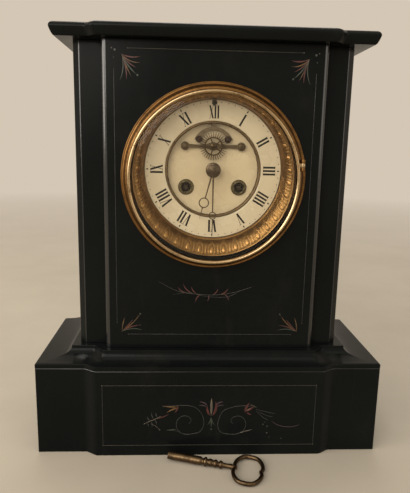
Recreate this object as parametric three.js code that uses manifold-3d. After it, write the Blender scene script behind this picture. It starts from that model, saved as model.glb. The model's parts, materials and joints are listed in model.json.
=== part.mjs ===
// A black slate mantel clock with a round striking movement, about 1880.
// Millimetres, +Z up, the dial faces -Y. The origin is the middle of the plinth's underside.
// Inside the clock group, y is the distance behind the front face of the plinth's end portions.
import * as THREE from 'three';
import { mergeVertices } from 'three/addons/utils/BufferGeometryUtils.js';
import Module from 'manifold-3d';

const wasm = await Module();
wasm.setup();

// Plinth and its moulded cap
const baseWidth = 310;
const plinthDepth = 122;
const plinthHeight = 81.3;
const plinthWall = 18;
const breakfrontDepth = 6.4;
const breakfrontHalfWidth = 100;
const shoulderWidth = 13.2;
const capHeight = 14.5;
const capFillet = 4.2;
const capFilletStep = 1.6;
const capTopLip = 1.4;
const capSideCove = 29;
const capFrontCove = 18.5;
const capCentreCove = 13;
const capShoulderShift = 6;

// Body slabs
const bodyHalfWidth = baseWidth / 2 - 35;
const bodyHeight = 265.7;
const pilasterWidth = 25;
const pilasterSetback = 24.3;
const pilasterChamfer = 6;
const panelSetback = 13.8;
const panelThickness = 22;
const panelEdgeRadius = 5;
const bodyBackInset = 8;
const backPanelThickness = 16;

// Top slab
const topThickness = 10.7;
const topHalfWidth = bodyHalfWidth + 14.5;
const topSetback = 7.8;
const topShoulderWidth = 8.9;
const topBreakfrontHalfWidth = 98.9;

// Round work: the dial's size, from which the rings round it follow, and its heights.
// The dial sits a little high in its bezel.
const chapterOuterRadius = 59.8;
const caseBoreRadius = chapterOuterRadius + 9.2;
const bezelHeight = 250.6;
const sightHeight = 251.4;
const dialHeight = 256.4;

// Bezel, sight ring and glazed door
const bezelRadius = caseBoreRadius + 10.4;
const bezelInnerRadius = caseBoreRadius + 2.6;
const bezelFlangeRadius = caseBoreRadius - 1.5;
const bezelFlangeThickness = 1.2;
const bezelProjection = 7.2;
const sightRingRadius = caseBoreRadius + 0.4;
const doorRingRadius = caseBoreRadius + 4.4;
const doorOpeningRadius = caseBoreRadius + 1.4;
const doorRingDepth = 3.3;
const doorDrop = 1.2;
const glassRadius = doorOpeningRadius + 0.6;
const glassThickness = 1.8;
const glassBevel = 6;
const glassBevelDepth = 0.9;
const hingeOffset = doorRingRadius + 1.6;
const hingeBarrelRadius = 1.7;
const hingePinRadius = 0.8;
const hingeKnuckleLength = 3.2;
const hingeRise = 11.8;

// Dial
const chapterInnerRadius = chapterOuterRadius - 18;
const chapterThickness = 1.6;
const chapterSetback = 23;
const dialRecess = 6.5;
const collarThickness = 1.3;
const enamelThickness = 1.5;
const panThickness = 1;

// Winding squares, as placed on the dial
const windingX = 23.5;
const windingZ = -15.4;
const windingSquare = 3.6;
const windingHoleRadius = 4.3;
const colletRadius = 7;
const colletThickness = 1.2;

// Escapement
const escapeZ = 20.4;
const escapeTeeth = 32;
const escapeTipRadius = 12.1;
const escapeRimRadius = 8.0;
const escapeRimWidth = 1.1;
const escapeWheelThickness = 1;
const palletSpan = 11.5;
const palletRadius = 0.95;
const swing = THREE.MathUtils.degToRad(1.5);
const palletMargin = 0.15;
const bridgeScrewX = 24.7;
const bridgeLobeRadius = 3.8;
const bridgeThickness = 1.4;
const bridgeBarHeight = 3.2;

// Hands
const handThickness = 0.7;
const minuteLength = 58;
const minuteRingAt = 39.5;
const minuteRingRadius = 3.4;
const hourLength = 44;
const hourRingAt = 29.5;
const hourRingRadius = 4.6;
const hourBossRadius = 6.6;
const minuteBossRadius = 4.6;

// Movement frame
const plateRadius = 56;
const plateThickness = 2.4;
const frontPlateSetback = 37;
const rearRoom = 34.2;
const pillarRadius = 3.4;
const pillarCircle = 48;

// Wheelwork
const arborRadius = 1;
const trainWheelTip = 14.3;
const trainPinionTip = 1.8;
const trainTeeth = 72;
const trainLeaves = 6;
const wheelThickness = 1.2;
const pinionLength = 2.4;
const centrePinionTip = 2.4;
const barrelWheelTip = 21;
const barrelTeeth = 63;
const barrelDrumRadius = 18.8;
const wheelRoom = 22;
const barrelPinionTip = 2.6;
const ratchetTeeth = 20;
const ratchetTip = 8.6;
const ratchetRoot = 7.4;
const ratchetThickness = 1.4;
const hammerArborX = -44;
const hammerArborZ = 18;
const bellRadius = 33;
const bellDepth = 16;
const bellWall = 1.2;
const bellZ = -12;
const bellMouthGap = 10.5;
const bellFootX = 14;
const bellFootZ = -34;
const bellStandRadius = 2;

// Pendulum and regulator
const rodSetbackFromPlate = 4.6;
const rodRadius = 1.4;
const pendulumLength = 150;
const bobRadius = 24;
const bobThickness = 12;
const regulatorZ = 57;

// Straps, rear ring and rear door
const strapWidth = 10;
const strapThickness = 1.4;
const rearRingRadius = caseBoreRadius + 7;
const rearRingThickness = 2.2;
const rearDoorRadius = caseBoreRadius + 2.5;
const rearDoorThickness = 1.1;
const rearDoorDome = 3;

// Winding key, laid on the shelf in front of the clock
const keyPipeRadius = 3.7;
const keyPipeLength = 31;
const keyCollarRadius = 4;
const keySocket = 3.9;
const keyShankLength = 28;
const keyBowLength = 28.5;
const keyBowWidth = 42;
const keyBowWire = 1.9;
const keyX = -36.5;
const keyY = -14.2;
const keyTurn = THREE.MathUtils.degToRad(-15);

// Running clearance between pieces that move or seat against each other
const clearance = 0.3;

// Places worked out from the sizes above
const bodyFoot = plinthHeight + capHeight;
const bodyTop = bodyFoot + bodyHeight;
const bodyBack = plinthDepth - bodyBackInset;
const frontPlateBack = frontPlateSetback + plateThickness;
const backPlateBack = bodyBack - rearRoom;
const backPlateSetback = backPlateBack - plateThickness;
const plateGap = backPlateSetback - frontPlateBack;
const barrelLength = plateGap - wheelRoom;
const bezelFront = panelSetback - bezelProjection;
const centreSetback = chapterSetback + dialRecess;
const panSetback = centreSetback + enamelThickness + clearance;
const boreHeight = (sightHeight + dialHeight) / 2;
const doorHeight = bezelHeight - doorDrop;
const toothPitch = (2 * Math.PI) / escapeTeeth;
const palletAngle = (palletSpan * toothPitch) / 2;
const palletCircle = (escapeTipRadius + palletMargin + palletRadius)
  / (1 - Math.tan(palletAngle) * Math.sin(swing));
const anchorZ = escapeZ + palletCircle / Math.cos(palletAngle);
const rodSetback = backPlateBack + rodSetbackFromPlate;

// Finishes
const slate = { color: 0x17171a, roughness: 0.25, metalness: 0 };
const stone = { color: 0x8a857a, roughness: 0.9, metalness: 0 };
const brass = { color: 0x9c7440, roughness: 0.35, metalness: 1 };
const gilt = { color: 0xb08a4c, roughness: 0.3, metalness: 1 };
const enamel = { color: 0xe9e2d2, roughness: 0.2, metalness: 0 };
const steel = { color: 0x8d8d90, roughness: 0.35, metalness: 1 };
const blued = { color: 0x1d2026, roughness: 0.35, metalness: 1 };
const glass = { color: 0xdfe8e6, roughness: 0.05, metalness: 0 };
const ruby = { color: 0x5a1e14, roughness: 0.2, metalness: 0 };
const bronze = { color: 0x6f5a3c, roughness: 0.4, metalness: 1 };

const part = new THREE.Group();
const clock = new THREE.Group();
clock.position.y = -plinthDepth / 2;
part.add(clock);
const movement = new THREE.Group();
movement.position.z = dialHeight;
clock.add(movement);

function place(name, geometry, finish, parent = clock, x = 0, y = 0, z = 0) {
  const mesh = new THREE.Mesh(geometry, new THREE.MeshStandardMaterial(finish));
  mesh.name = name;
  mesh.position.set(x, y, z);
  parent.add(mesh);
  return mesh;
}

// Joining and cutting
function toSolid(geometry) {
  const bare = new THREE.BufferGeometry();
  bare.setAttribute('position', geometry.getAttribute('position').clone());
  if (geometry.index) bare.setIndex(geometry.index.clone());
  const merged = mergeVertices(bare, 1e-4);
  const source = merged.index.array;
  const position = merged.getAttribute('position');
  const corners = [];
  const a = new THREE.Vector3();
  const b = new THREE.Vector3();
  const c = new THREE.Vector3();
  let volume = 0;
  for (let i = 0; i < source.length; i += 3) {
    const [p, q, r] = [source[i], source[i + 1], source[i + 2]];
    if (p === q || q === r || r === p) continue;
    corners.push([p, q, r]);
    a.fromBufferAttribute(position, p);
    b.fromBufferAttribute(position, q);
    c.fromBufferAttribute(position, r);
    volume += a.dot(b.cross(c));
  }
  const facing = corners.map(([p, q, r]) => (volume > 0 ? [p, q, r] : [p, r, q]));
  return new wasm.Manifold(new wasm.Mesh({
    numProp: 3,
    vertProperties: new Float32Array(position.array),
    triVerts: new Uint32Array(facing.flat()),
  }));
}

function toGeometry(solid) {
  const mesh = solid.getMesh();
  const geometry = new THREE.BufferGeometry();
  geometry.setAttribute('position', new THREE.BufferAttribute(new Float32Array(mesh.vertProperties), 3));
  geometry.setIndex(new THREE.BufferAttribute(new Uint32Array(mesh.triVerts), 1));
  return geometry;
}

function join(...geometries) {
  const [first, ...rest] = geometries.map(toSolid);
  return toGeometry(rest.reduce((sum, next) => sum.add(next), first));
}

function cut(geometry, ...tools) {
  return toGeometry(tools.map(toSolid).reduce((sum, next) => sum.subtract(next), toSolid(geometry)));
}

// Basic forms. A flat is a shape drawn in x and z with its thickness running back along y.
function block(x0, x1, y0, y1, z0, z1) {
  const geometry = new THREE.BoxGeometry(x1 - x0, y1 - y0, z1 - z0);
  return geometry.translate((x0 + x1) / 2, (y0 + y1) / 2, (z0 + z1) / 2);
}

function flat(shape, thickness, y = 0, segments = 12) {
  const geometry = new THREE.ExtrudeGeometry(shape, {
    depth: thickness, bevelEnabled: false, curveSegments: segments,
  });
  return geometry.rotateX(Math.PI / 2).translate(0, y + thickness, 0);
}

function upright(shape, z0, z1, segments = 6) {
  const geometry = new THREE.ExtrudeGeometry(shape, {
    depth: z1 - z0, bevelEnabled: false, curveSegments: segments,
  });
  return geometry.translate(0, 0, z0);
}

function turned(profile, segments = 32) {
  return new THREE.LatheGeometry(profile.map(([r, y]) => new THREE.Vector2(r, y)), segments);
}

function ring(profile, segments = 48) {
  return turned([...profile, profile[0]], segments);
}

function rodY(radius, y0, y1, x = 0, z = 0, segments = 8) {
  const geometry = new THREE.CylinderGeometry(radius, radius, y1 - y0, segments);
  return geometry.translate(x, (y0 + y1) / 2, z);
}

function rodZ(radius, z0, z1, x = 0, y = 0, segments = 8) {
  const geometry = new THREE.CylinderGeometry(radius, radius, z1 - z0, segments);
  return geometry.rotateX(Math.PI / 2).translate(x, y, (z0 + z1) / 2);
}

function tube(points, radius, steps, sides = 8) {
  const section = new THREE.Shape();
  section.absarc(0, 0, radius, 0, 2 * Math.PI, false);
  const path = new THREE.CatmullRomCurve3(points.map((p) => new THREE.Vector3(...p)));
  return new THREE.ExtrudeGeometry(section, {
    steps, extrudePath: path, curveSegments: sides / 2, bevelEnabled: false,
  });
}

// A solid through closed outlines of equally many points, from the lowest up
function loft(outlines) {
  const count = outlines[0].length;
  const position = outlines.flat(2);
  const index = [];
  for (let level = 0; level + 1 < outlines.length; level += 1) {
    for (let i = 0; i < count; i += 1) {
      const next = (i + 1) % count;
      const low = level * count;
      const high = low + count;
      index.push(low + i, low + next, high + next, low + i, high + next, high + i);
    }
  }
  const caps = [0, outlines.length - 1];
  caps.forEach((level) => {
    const contour = outlines[level].map(([x, y]) => new THREE.Vector2(x, y));
    THREE.ShapeUtils.triangulateShape(contour, []).forEach(([p, q, r]) => {
      const base = level * count;
      if (level === 0) index.push(base + p, base + r, base + q);
      else index.push(base + p, base + q, base + r);
    });
  });
  const geometry = new THREE.BufferGeometry();
  geometry.setAttribute('position', new THREE.Float32BufferAttribute(position, 3));
  geometry.setIndex(index);
  return toGeometry(toSolid(geometry));
}

// The plan of a slab whose middle stands forward, with a soft S-shaped shoulder at each side
function breakfrontPlan(z, halfWidth, endY, centreY, centreHalf, shoulder, backY) {
  const shoulderSteps = 5;
  const left = [];
  for (let i = 0; i <= shoulderSteps; i += 1) {
    const t = i / shoulderSteps;
    const ease = t * t * (3 - 2 * t);
    left.push([-(centreHalf + shoulder * (1 - t)), endY + (centreY - endY) * ease, z]);
  }
  const right = left.map(([x, y]) => [-x, y, z]).reverse();
  return [[-halfWidth, backY, z], [-halfWidth, endY, z], ...left, ...right,
    [halfWidth, endY, z], [halfWidth, backY, z]];
}

// Case: plinth
const baseHalf = baseWidth / 2;
const plinthBackWall = plinthDepth - plinthWall;

function makePlinth() {
  const plan = (z) => breakfrontPlan(z, baseHalf, 0, -breakfrontDepth, breakfrontHalfWidth,
    shoulderWidth, plinthWall);
  place('plinth_front_slab', loft([plan(0), plan(plinthHeight)]), slate);
  const inner = baseHalf - plinthWall;
  place('plinth_side_slab_left', block(-baseHalf, -inner, plinthWall, plinthDepth, 0, plinthHeight), slate);
  place('plinth_side_slab_right', block(inner, baseHalf, plinthWall, plinthDepth, 0, plinthHeight), slate);
  place('plinth_back_slab', block(-inner, inner, plinthBackWall, plinthDepth, 0, plinthHeight), slate);
  place('plinth_core', block(-inner, inner, plinthWall, plinthBackWall, 0, plinthHeight), stone);
}

// Case: the cap over the plinth, coved on three sides and flat at the back
function makeCap() {
  const coveSteps = 7;
  const level = (height, inward) => breakfrontPlan(
    plinthHeight + height,
    baseHalf - capSideCove * inward,
    capFrontCove * inward,
    -breakfrontDepth + capCentreCove * inward,
    breakfrontHalfWidth - capShoulderShift * inward,
    shoulderWidth,
    plinthDepth,
  );
  const step = capFilletStep / capSideCove;
  const levels = [level(0, 0), level(capFillet, 0)];
  const coveHeight = capHeight - capFillet - capTopLip;
  for (let i = 0; i <= coveSteps; i += 1) {
    const angle = (i / coveSteps) * (Math.PI / 2);
    const inward = step + (1 - step) * Math.sin(angle);
    levels.push(level(capFillet + 0.2 + (coveHeight - 0.2) * (1 - Math.cos(angle)), inward));
  }
  levels.push(level(capHeight, 1));
  place('plinth_cap', loft(levels), slate);
}

// Case: body slabs, bored through front and back for the movement
function makeBody() {
  const panelHalf = bodyHalfWidth - pilasterWidth;
  const panelBack = panelSetback + panelThickness;
  const r = panelEdgeRadius;
  const panelPlan = new THREE.Shape();
  panelPlan.moveTo(-panelHalf, panelBack);
  panelPlan.lineTo(-panelHalf, panelSetback + r);
  panelPlan.absarc(-panelHalf + r, panelSetback + r, r, Math.PI, 1.5 * Math.PI, false);
  panelPlan.absarc(panelHalf - r, panelSetback + r, r, 1.5 * Math.PI, 2 * Math.PI, false);
  panelPlan.lineTo(panelHalf, panelBack);
  const bore = rodY(caseBoreRadius, 0, plinthDepth, 0, boreHeight, 64);
  place('front_panel', cut(upright(panelPlan, bodyFoot, bodyTop, 5), bore), slate);
  [-1, 1].forEach((side) => {
    const plan = new THREE.Shape([
      [panelHalf, pilasterSetback],
      [bodyHalfWidth - pilasterChamfer, pilasterSetback],
      [bodyHalfWidth, pilasterSetback + pilasterChamfer],
      [bodyHalfWidth, bodyBack],
      [panelHalf, bodyBack],
    ].map(([x, y]) => new THREE.Vector2(side * x, y)));
    const name = side < 0 ? 'side_slab_left' : 'side_slab_right';
    place(name, upright(plan, bodyFoot, bodyTop), slate);
  });
  const back = block(-panelHalf, panelHalf, bodyBack - backPanelThickness, bodyBack, bodyFoot, bodyTop);
  place('back_panel', cut(back, bore), slate);
}

// Case: top slab, its edge rounded above and drawn in below
function makeTop() {
  const edge = [[0, 3.2], [3.4, 1.1], [6.6, 0], [8.4, 0.35], [9.7, 1.3], [topThickness, 3.6]];
  const levels = edge.map(([height, inset]) => breakfrontPlan(
    bodyTop + height,
    topHalfWidth - inset,
    topSetback + inset,
    topSetback - breakfrontDepth + inset,
    topBreakfrontHalfWidth - inset,
    topShoulderWidth,
    plinthDepth - inset,
  ));
  place('top_slab', loft(levels), slate);
}

// A hinge barrel set, centred on its own axis; the pin is fixed in the outer barrels
const barrelGap = clearance;

function fixedBarrels(webTo) {
  const half = hingeKnuckleLength / 2 + barrelGap;
  const end = half + hingeKnuckleLength * 0.9;
  return [
    rodZ(hingePinRadius, -end, end),
    rodZ(hingeBarrelRadius, half, end),
    rodZ(hingeBarrelRadius, -end, -half),
    block(-hingePinRadius, hingePinRadius, 0, webTo, half, end),
    block(-hingePinRadius, hingePinRadius, 0, webTo, -end, -half),
  ];
}

function movingBarrel(webTo) {
  const half = hingeKnuckleLength / 2;
  const web = webTo < 0 ? block(webTo, 0, -hingePinRadius, hingePinRadius, -half, half)
    : block(0, webTo, -hingePinRadius, hingePinRadius, -half, half);
  return { body: [rodZ(hingeBarrelRadius, -half, half), web],
    hole: rodZ(hingePinRadius + clearance, -half - 1, half + 1) };
}

const hingeY = bezelFront - clearance - hingeBarrelRadius;
const doorBack = bezelFront - clearance;
const doorFront = doorBack - doorRingDepth;

// Fixed bezel against the front panel, with the flange that seats the sight ring
function makeBezel() {
  const p = panelSetback;
  const outer = bezelRadius;
  const profile = [
    [outer, p], [outer, p - 1.6], [outer - 0.9, p - 2.5], [outer - 2.1, p - 2.1],
    [outer - 3.2, p - 4.4], [outer - 4.8, bezelFront + 0.5], [outer - 6.2, bezelFront],
    [bezelInnerRadius, bezelFront], [bezelInnerRadius, p - bezelFlangeThickness],
    [bezelFlangeRadius, p - bezelFlangeThickness], [bezelFlangeRadius, p],
  ];
  const barrels = fixedBarrels(p - 2 - hingeY)
    .map((piece) => piece.translate(hingeOffset, hingeY, hingeRise));
  place('bezel_ring', join(ring(profile, 44), ...barrels), brass, clock, 0, 0, bezelHeight);
}

// Sight ring between bezel and dial: its outer edge sits in the bezel, its inner edge follows the dial.
// Each corner of the section has a radius, a share of the offset between the two, and a setback.
function makeSightRing() {
  const seat = panelSetback - bezelFlangeThickness - clearance;
  const sheet = 0.9;
  const wall = 1.5;
  const rise = dialHeight - sightHeight;
  const sight = chapterOuterRadius + clearance;
  const outer = sightRingRadius;
  const neck = bezelFlangeRadius - 2 * clearance - (sightHeight - bezelHeight);
  const middle = (neck + sight) / 2;
  const stop = chapterSetback - clearance;
  const section = [
    [outer, 0, seat - sheet], [neck - 1.2, 0, seat - sheet], [middle - 0.6, 0.5, seat + 3],
    [sight, 1, stop - sheet], [sight, 1, stop], [sight + wall, 0.93, stop],
    [middle + 1, 0.5, seat + 5], [neck, 0, seat + 1.6], [neck, 0, seat], [outer, 0, seat],
  ];
  const segments = 44;
  const position = [];
  const index = [];
  for (let i = 0; i < segments; i += 1) {
    const angle = (i / segments) * 2 * Math.PI;
    section.forEach(([r, share, y]) => {
      position.push(r * Math.cos(angle), y, r * Math.sin(angle) + share * rise);
    });
    section.forEach((corner, j) => {
      const here = i * section.length;
      const there = ((i + 1) % segments) * section.length;
      const next = (j + 1) % section.length;
      index.push(here + j, here + next, there + next, here + j, there + next, there + j);
    });
  }
  const geometry = new THREE.BufferGeometry();
  geometry.setAttribute('position', new THREE.Float32BufferAttribute(position, 3));
  geometry.setIndex(index);
  place('sight_ring', toGeometry(toSolid(geometry)), gilt, clock, 0, 0, sightHeight);
}

// Glazed front door: a narrow ring in front of the bezel, with bevelled glass behind its lip
function makeDoor() {
  const glassSeat = doorBack - glassThickness - clearance;
  const profile = [
    [doorRingRadius, doorBack], [doorRingRadius, doorFront + 1.3], [doorRingRadius - 1.2, doorFront],
    [doorOpeningRadius + 0.9, doorFront], [doorOpeningRadius, doorFront + 0.8],
    [doorOpeningRadius, glassSeat], [glassRadius + clearance, glassSeat],
    [glassRadius + clearance, doorBack],
  ];
  const drop = doorHeight - bezelHeight;
  const barrel = movingBarrel(doorRingRadius - 2.4 - hingeOffset);
  const shift = (piece) => piece.translate(hingeOffset, hingeY, hingeRise - drop);
  const body = join(ring(profile, 44), ...barrel.body.map(shift));
  place('door_bezel', cut(body, shift(barrel.hole)), brass, clock, 0, 0, doorHeight);
  const front = glassSeat + clearance;
  const pane = [
    [0, front], [glassRadius - glassBevel, front], [glassRadius, front + glassBevelDepth],
    [glassRadius, doorBack], [0, doorBack],
  ];
  place('door_glass', toGeometry(toSolid(turned(pane, 48))), glass, clock, 0, 0, doorHeight);
}

// Dial: enamel chapter ring and recessed enamel centre on a brass pan, whose wall comes forward as a
// collar inside the chapter ring, and the winding collets
const panFeet = [[0, -52], [-45, 26], [45, 26]];

function makeDial() {
  const holes = (grow, y0, y1) => [
    rodY(windingHoleRadius + grow, y0, y1, -windingX, windingZ, 14),
    rodY(windingHoleRadius + grow, y0, y1, windingX, windingZ, 14),
    rodY(hourPipeRadius + clearance + grow, y0, y1, 0, 0, 12),
    rodY(bridgePostRadius + clearance + grow, y0, y1, -bridgeScrewX, escapeZ),
    rodY(bridgePostRadius + clearance + grow, y0, y1, bridgeScrewX, escapeZ),
    rodY(arborRadius + 1 + grow, y0, y1, 0, escapeZ),
  ];
  const chapterProfile = [
    [chapterOuterRadius, chapterSetback], [chapterInnerRadius + 0.8, chapterSetback],
    [chapterInnerRadius, chapterSetback + 0.5], [chapterInnerRadius, chapterSetback + chapterThickness],
    [chapterOuterRadius, chapterSetback + chapterThickness],
  ];
  const regulatorHole = rodY(1.8, 0, plinthDepth, 0, regulatorZ, 14);
  place('chapter_ring', cut(ring(chapterProfile), regulatorHole), enamel, movement);
  const wall = chapterInnerRadius - clearance;
  const centreRadius = wall - collarThickness - clearance;
  const disc = rodY(centreRadius, centreSetback, centreSetback + enamelThickness, 0, 0, 40);
  place('dial_centre', cut(disc, ...holes(0, 0, plinthDepth)), enamel, movement);

  const rimBack = chapterSetback + chapterThickness + clearance;
  const collarFront = chapterSetback - 0.4;
  const panProfile = [
    [0, panSetback], [wall - collarThickness, panSetback], [wall - collarThickness, collarFront + 0.3],
    [wall - 0.9, collarFront], [wall - 0.3, collarFront], [wall, collarFront + 0.3], [wall, rimBack],
    [chapterOuterRadius + 1.4, rimBack], [chapterOuterRadius + 1.4, rimBack + panThickness],
    [wall + panThickness, rimBack + panThickness], [wall + panThickness, panSetback + panThickness],
    [0, panSetback + panThickness],
  ];
  const feet = panFeet.map(([x, z]) => rodY(2, rimBack + 0.5, frontPlateSetback - clearance, x, z));
  const slotBack = panSetback - clearance;
  const anchorSlots = [
    block(-8, 8, rimBack - 1, slotBack, wall + panThickness + 0.1, chapterOuterRadius + 8),
    block(-4.5, 4.5, rimBack + 0.5, slotBack, wall - 12, wall + panThickness + 0.2),
  ];
  const pan = cut(join(turned(panProfile, 32), ...feet), ...anchorSlots, ...holes(0.8, 0, plinthDepth));
  place('dial_pan', pan, brass, movement);

  const colletFront = centreSetback - clearance - colletThickness;
  const colletProfile = [
    [windingHoleRadius, colletFront + 0.5], [windingHoleRadius + 0.6, colletFront],
    [colletRadius - 0.8, colletFront + 0.2], [colletRadius, centreSetback - clearance],
    [windingHoleRadius, centreSetback - clearance],
  ];
  const collet = ring(colletProfile, 18);
  place('winding_collet_left', collet, brass, movement, -windingX, 0, windingZ);
  place('winding_collet_right', collet.clone(), brass, movement, windingX, 0, windingZ);
}

// Toothed outline; spread is the share of the pitch that a tooth fills at its root
function toothed(count, root, tip, spread = 0.5, lean = 0, phase = 0, tipShare = 0.35) {
  const points = [];
  const pitch = (2 * Math.PI) / count;
  const at = (r, angle) => new THREE.Vector2(r * Math.cos(angle), r * Math.sin(angle));
  for (let i = 0; i < count; i += 1) {
    const middle = phase + i * pitch;
    const half = (pitch * spread) / 2;
    points.push(at(root, middle - half));
    points.push(at(tip, middle + lean * pitch - half * tipShare));
    points.push(at(tip, middle + lean * pitch + half * tipShare));
    points.push(at(root, middle + half));
  }
  return new THREE.Shape(points);
}

// Fine pointed teeth all round
function fineTeeth(count, root, tip, lean = 0) {
  const points = [];
  const pitch = (2 * Math.PI) / count;
  for (let i = 0; i < count; i += 1) {
    const low = (i - 0.5) * pitch;
    const high = (i + lean) * pitch;
    points.push(new THREE.Vector2(root * Math.cos(low), root * Math.sin(low)));
    points.push(new THREE.Vector2(tip * Math.cos(high), tip * Math.sin(high)));
  }
  return new THREE.Shape(points);
}

// Windows between the crossings of a wheel
function crossings(shape, spokes, hub, rim, width, phase = 0, steps = 2) {
  for (let i = 0; i < spokes; i += 1) {
    const from = phase + (i * 2 * Math.PI) / spokes;
    const to = from + (2 * Math.PI) / spokes;
    const window = new THREE.Path();
    const outerTrim = width / 2 / rim;
    const innerTrim = width / 2 / hub;
    for (let j = 0; j <= steps; j += 1) {
      const angle = from + outerTrim + ((to - from - 2 * outerTrim) * j) / steps;
      const x = rim * Math.cos(angle);
      const y = rim * Math.sin(angle);
      if (j === 0) window.moveTo(x, y);
      else window.lineTo(x, y);
    }
    window.lineTo(hub * Math.cos(to - innerTrim), hub * Math.sin(to - innerTrim));
    window.lineTo(hub * Math.cos(from + innerTrim), hub * Math.sin(from + innerTrim));
    window.closePath();
    shape.holes.push(window);
  }
  return shape;
}

function pinion(leaves, tip, y0, length) {
  return flat(fineTeeth(leaves, tip * 0.7, tip), length, y0);
}

// A crossed wheel on its own arbor with a pinion; y values are setbacks inside the movement
function wheelOnArbor(spec) {
  const height = 1.1;
  const shape = fineTeeth(spec.teeth, spec.tip - height, spec.tip);
  crossings(shape, 4, 4, spec.tip - height - 1.6, 1.6);
  return join(
    flat(shape, wheelThickness, spec.wheelY),
    rodY(3, spec.wheelY - 0.6, spec.wheelY + wheelThickness + 0.6, 0, 0, 12),
    rodY(arborRadius, spec.from, spec.to, 0, 0, 10),
    pinion(spec.leaves, spec.pinionTip, spec.pinionY, pinionLength),
  );
}

// Where the arbors stand: tips of wheel and pinion pass with the running clearance
const meshGap = 0.2;
const trainDistance = trainWheelTip + trainPinionTip + meshGap;
const thirdX = -Math.sqrt(trainDistance ** 2 - (escapeZ / 2) ** 2);
const thirdZ = escapeZ / 2;
const barrelDistance = barrelWheelTip + barrelPinionTip + meshGap;
const intermediateAngle = THREE.MathUtils.degToRad(99.9);
const intermediateX = windingX + barrelDistance * Math.cos(intermediateAngle);
const intermediateZ = windingZ + barrelDistance * Math.sin(intermediateAngle);
const intermediateTip = Math.hypot(intermediateX, intermediateZ) - centrePinionTip - meshGap;
const secondAngle = THREE.MathUtils.degToRad(115);
const secondX = -windingX + barrelDistance * Math.cos(secondAngle);
const secondZ = windingZ + barrelDistance * Math.sin(secondAngle);
const pinWheelX = -26;
const pinWheelZ = 21.2;
const secondTip = Math.hypot(pinWheelX - secondX, pinWheelZ - secondZ) - trainPinionTip - meshGap;
const pinWheelTip = 10.4;
const bridgePostRadius = 2.4;
const hourPipeRadius = 3.7;
const cannonRadius = 2.6;

// Layers between the plates, from the front plate back
const centreWheelY = frontPlateBack + 1.6;
const thirdWheelY = centreWheelY + 3.6;
const barrelY = thirdWheelY + wheelThickness + 2;
const barrelWheelThickness = 2.4;
const barrelWheelY = barrelY + barrelLength;
const intermediateWheelY = barrelWheelY + barrelWheelThickness + 3;
const pinWheelY = barrelY + 3;
const pivotTo = backPlateBack - 0.4;
const pivotFrom = frontPlateSetback + 0.4;

// Plates with an ear for the regulating arbor, bored for every arbor that crosses them
const arborHoles = [
  [0, 0, cannonRadius + clearance], [-windingX, windingZ, 2.9], [windingX, windingZ, 2.9],
  [0, escapeZ, arborRadius + clearance], [0, anchorZ, arborRadius + clearance],
  [thirdX, thirdZ, arborRadius + clearance], [intermediateX, intermediateZ, arborRadius + clearance],
  [secondX, secondZ, arborRadius + clearance], [pinWheelX, pinWheelZ, arborRadius + clearance],
  [hammerArborX, hammerArborZ, arborRadius + clearance], [0, regulatorZ, arborRadius + clearance],
];
const pillars = [['pillar_bottom', -90], ['pillar_left', 152], ['pillar_right', 28]];

function makeFrame() {
  const plate = (y) => cut(
    join(rodY(plateRadius, y, y + plateThickness, 0, 0, 40),
      rodY(4.4, y, y + plateThickness, 0, regulatorZ, 16)),
    ...arborHoles.map(([x, z, r]) => rodY(r, 0, plinthDepth, x, z, r > 2 ? 12 : 6)),
  );
  place('front_plate', plate(frontPlateSetback), brass, movement);
  place('back_plate', plate(backPlateSetback), brass, movement);
  const waist = pillarRadius * 0.62;
  pillars.forEach(([name, degrees]) => {
    const angle = THREE.MathUtils.degToRad(degrees);
    const profile = [
      [0, frontPlateBack], [pillarRadius, frontPlateBack], [pillarRadius, frontPlateBack + 3],
      [waist, frontPlateBack + 6], [pillarRadius * 0.85, frontPlateBack + plateGap / 2],
      [waist, backPlateSetback - 6], [pillarRadius, backPlateSetback - 3],
      [pillarRadius, backPlateSetback], [0, backPlateSetback],
    ];
    const x = pillarCircle * Math.cos(angle);
    const z = pillarCircle * Math.sin(angle);
    place(name, toGeometry(toSolid(turned(profile, 10))), brass, movement, x, 0, z);
  });
}

// Escapement in the recess of the dial: the wheel runs outside its bridge, the anchor above it
const bridgeY = centreSetback - clearance - 1 - bridgeThickness;
const escapeWheelY = bridgeY - 1.2 - escapeWheelThickness;
const anchorY = escapeWheelY + escapeWheelThickness + 0.4;
const anchorThickness = 1.2;

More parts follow.
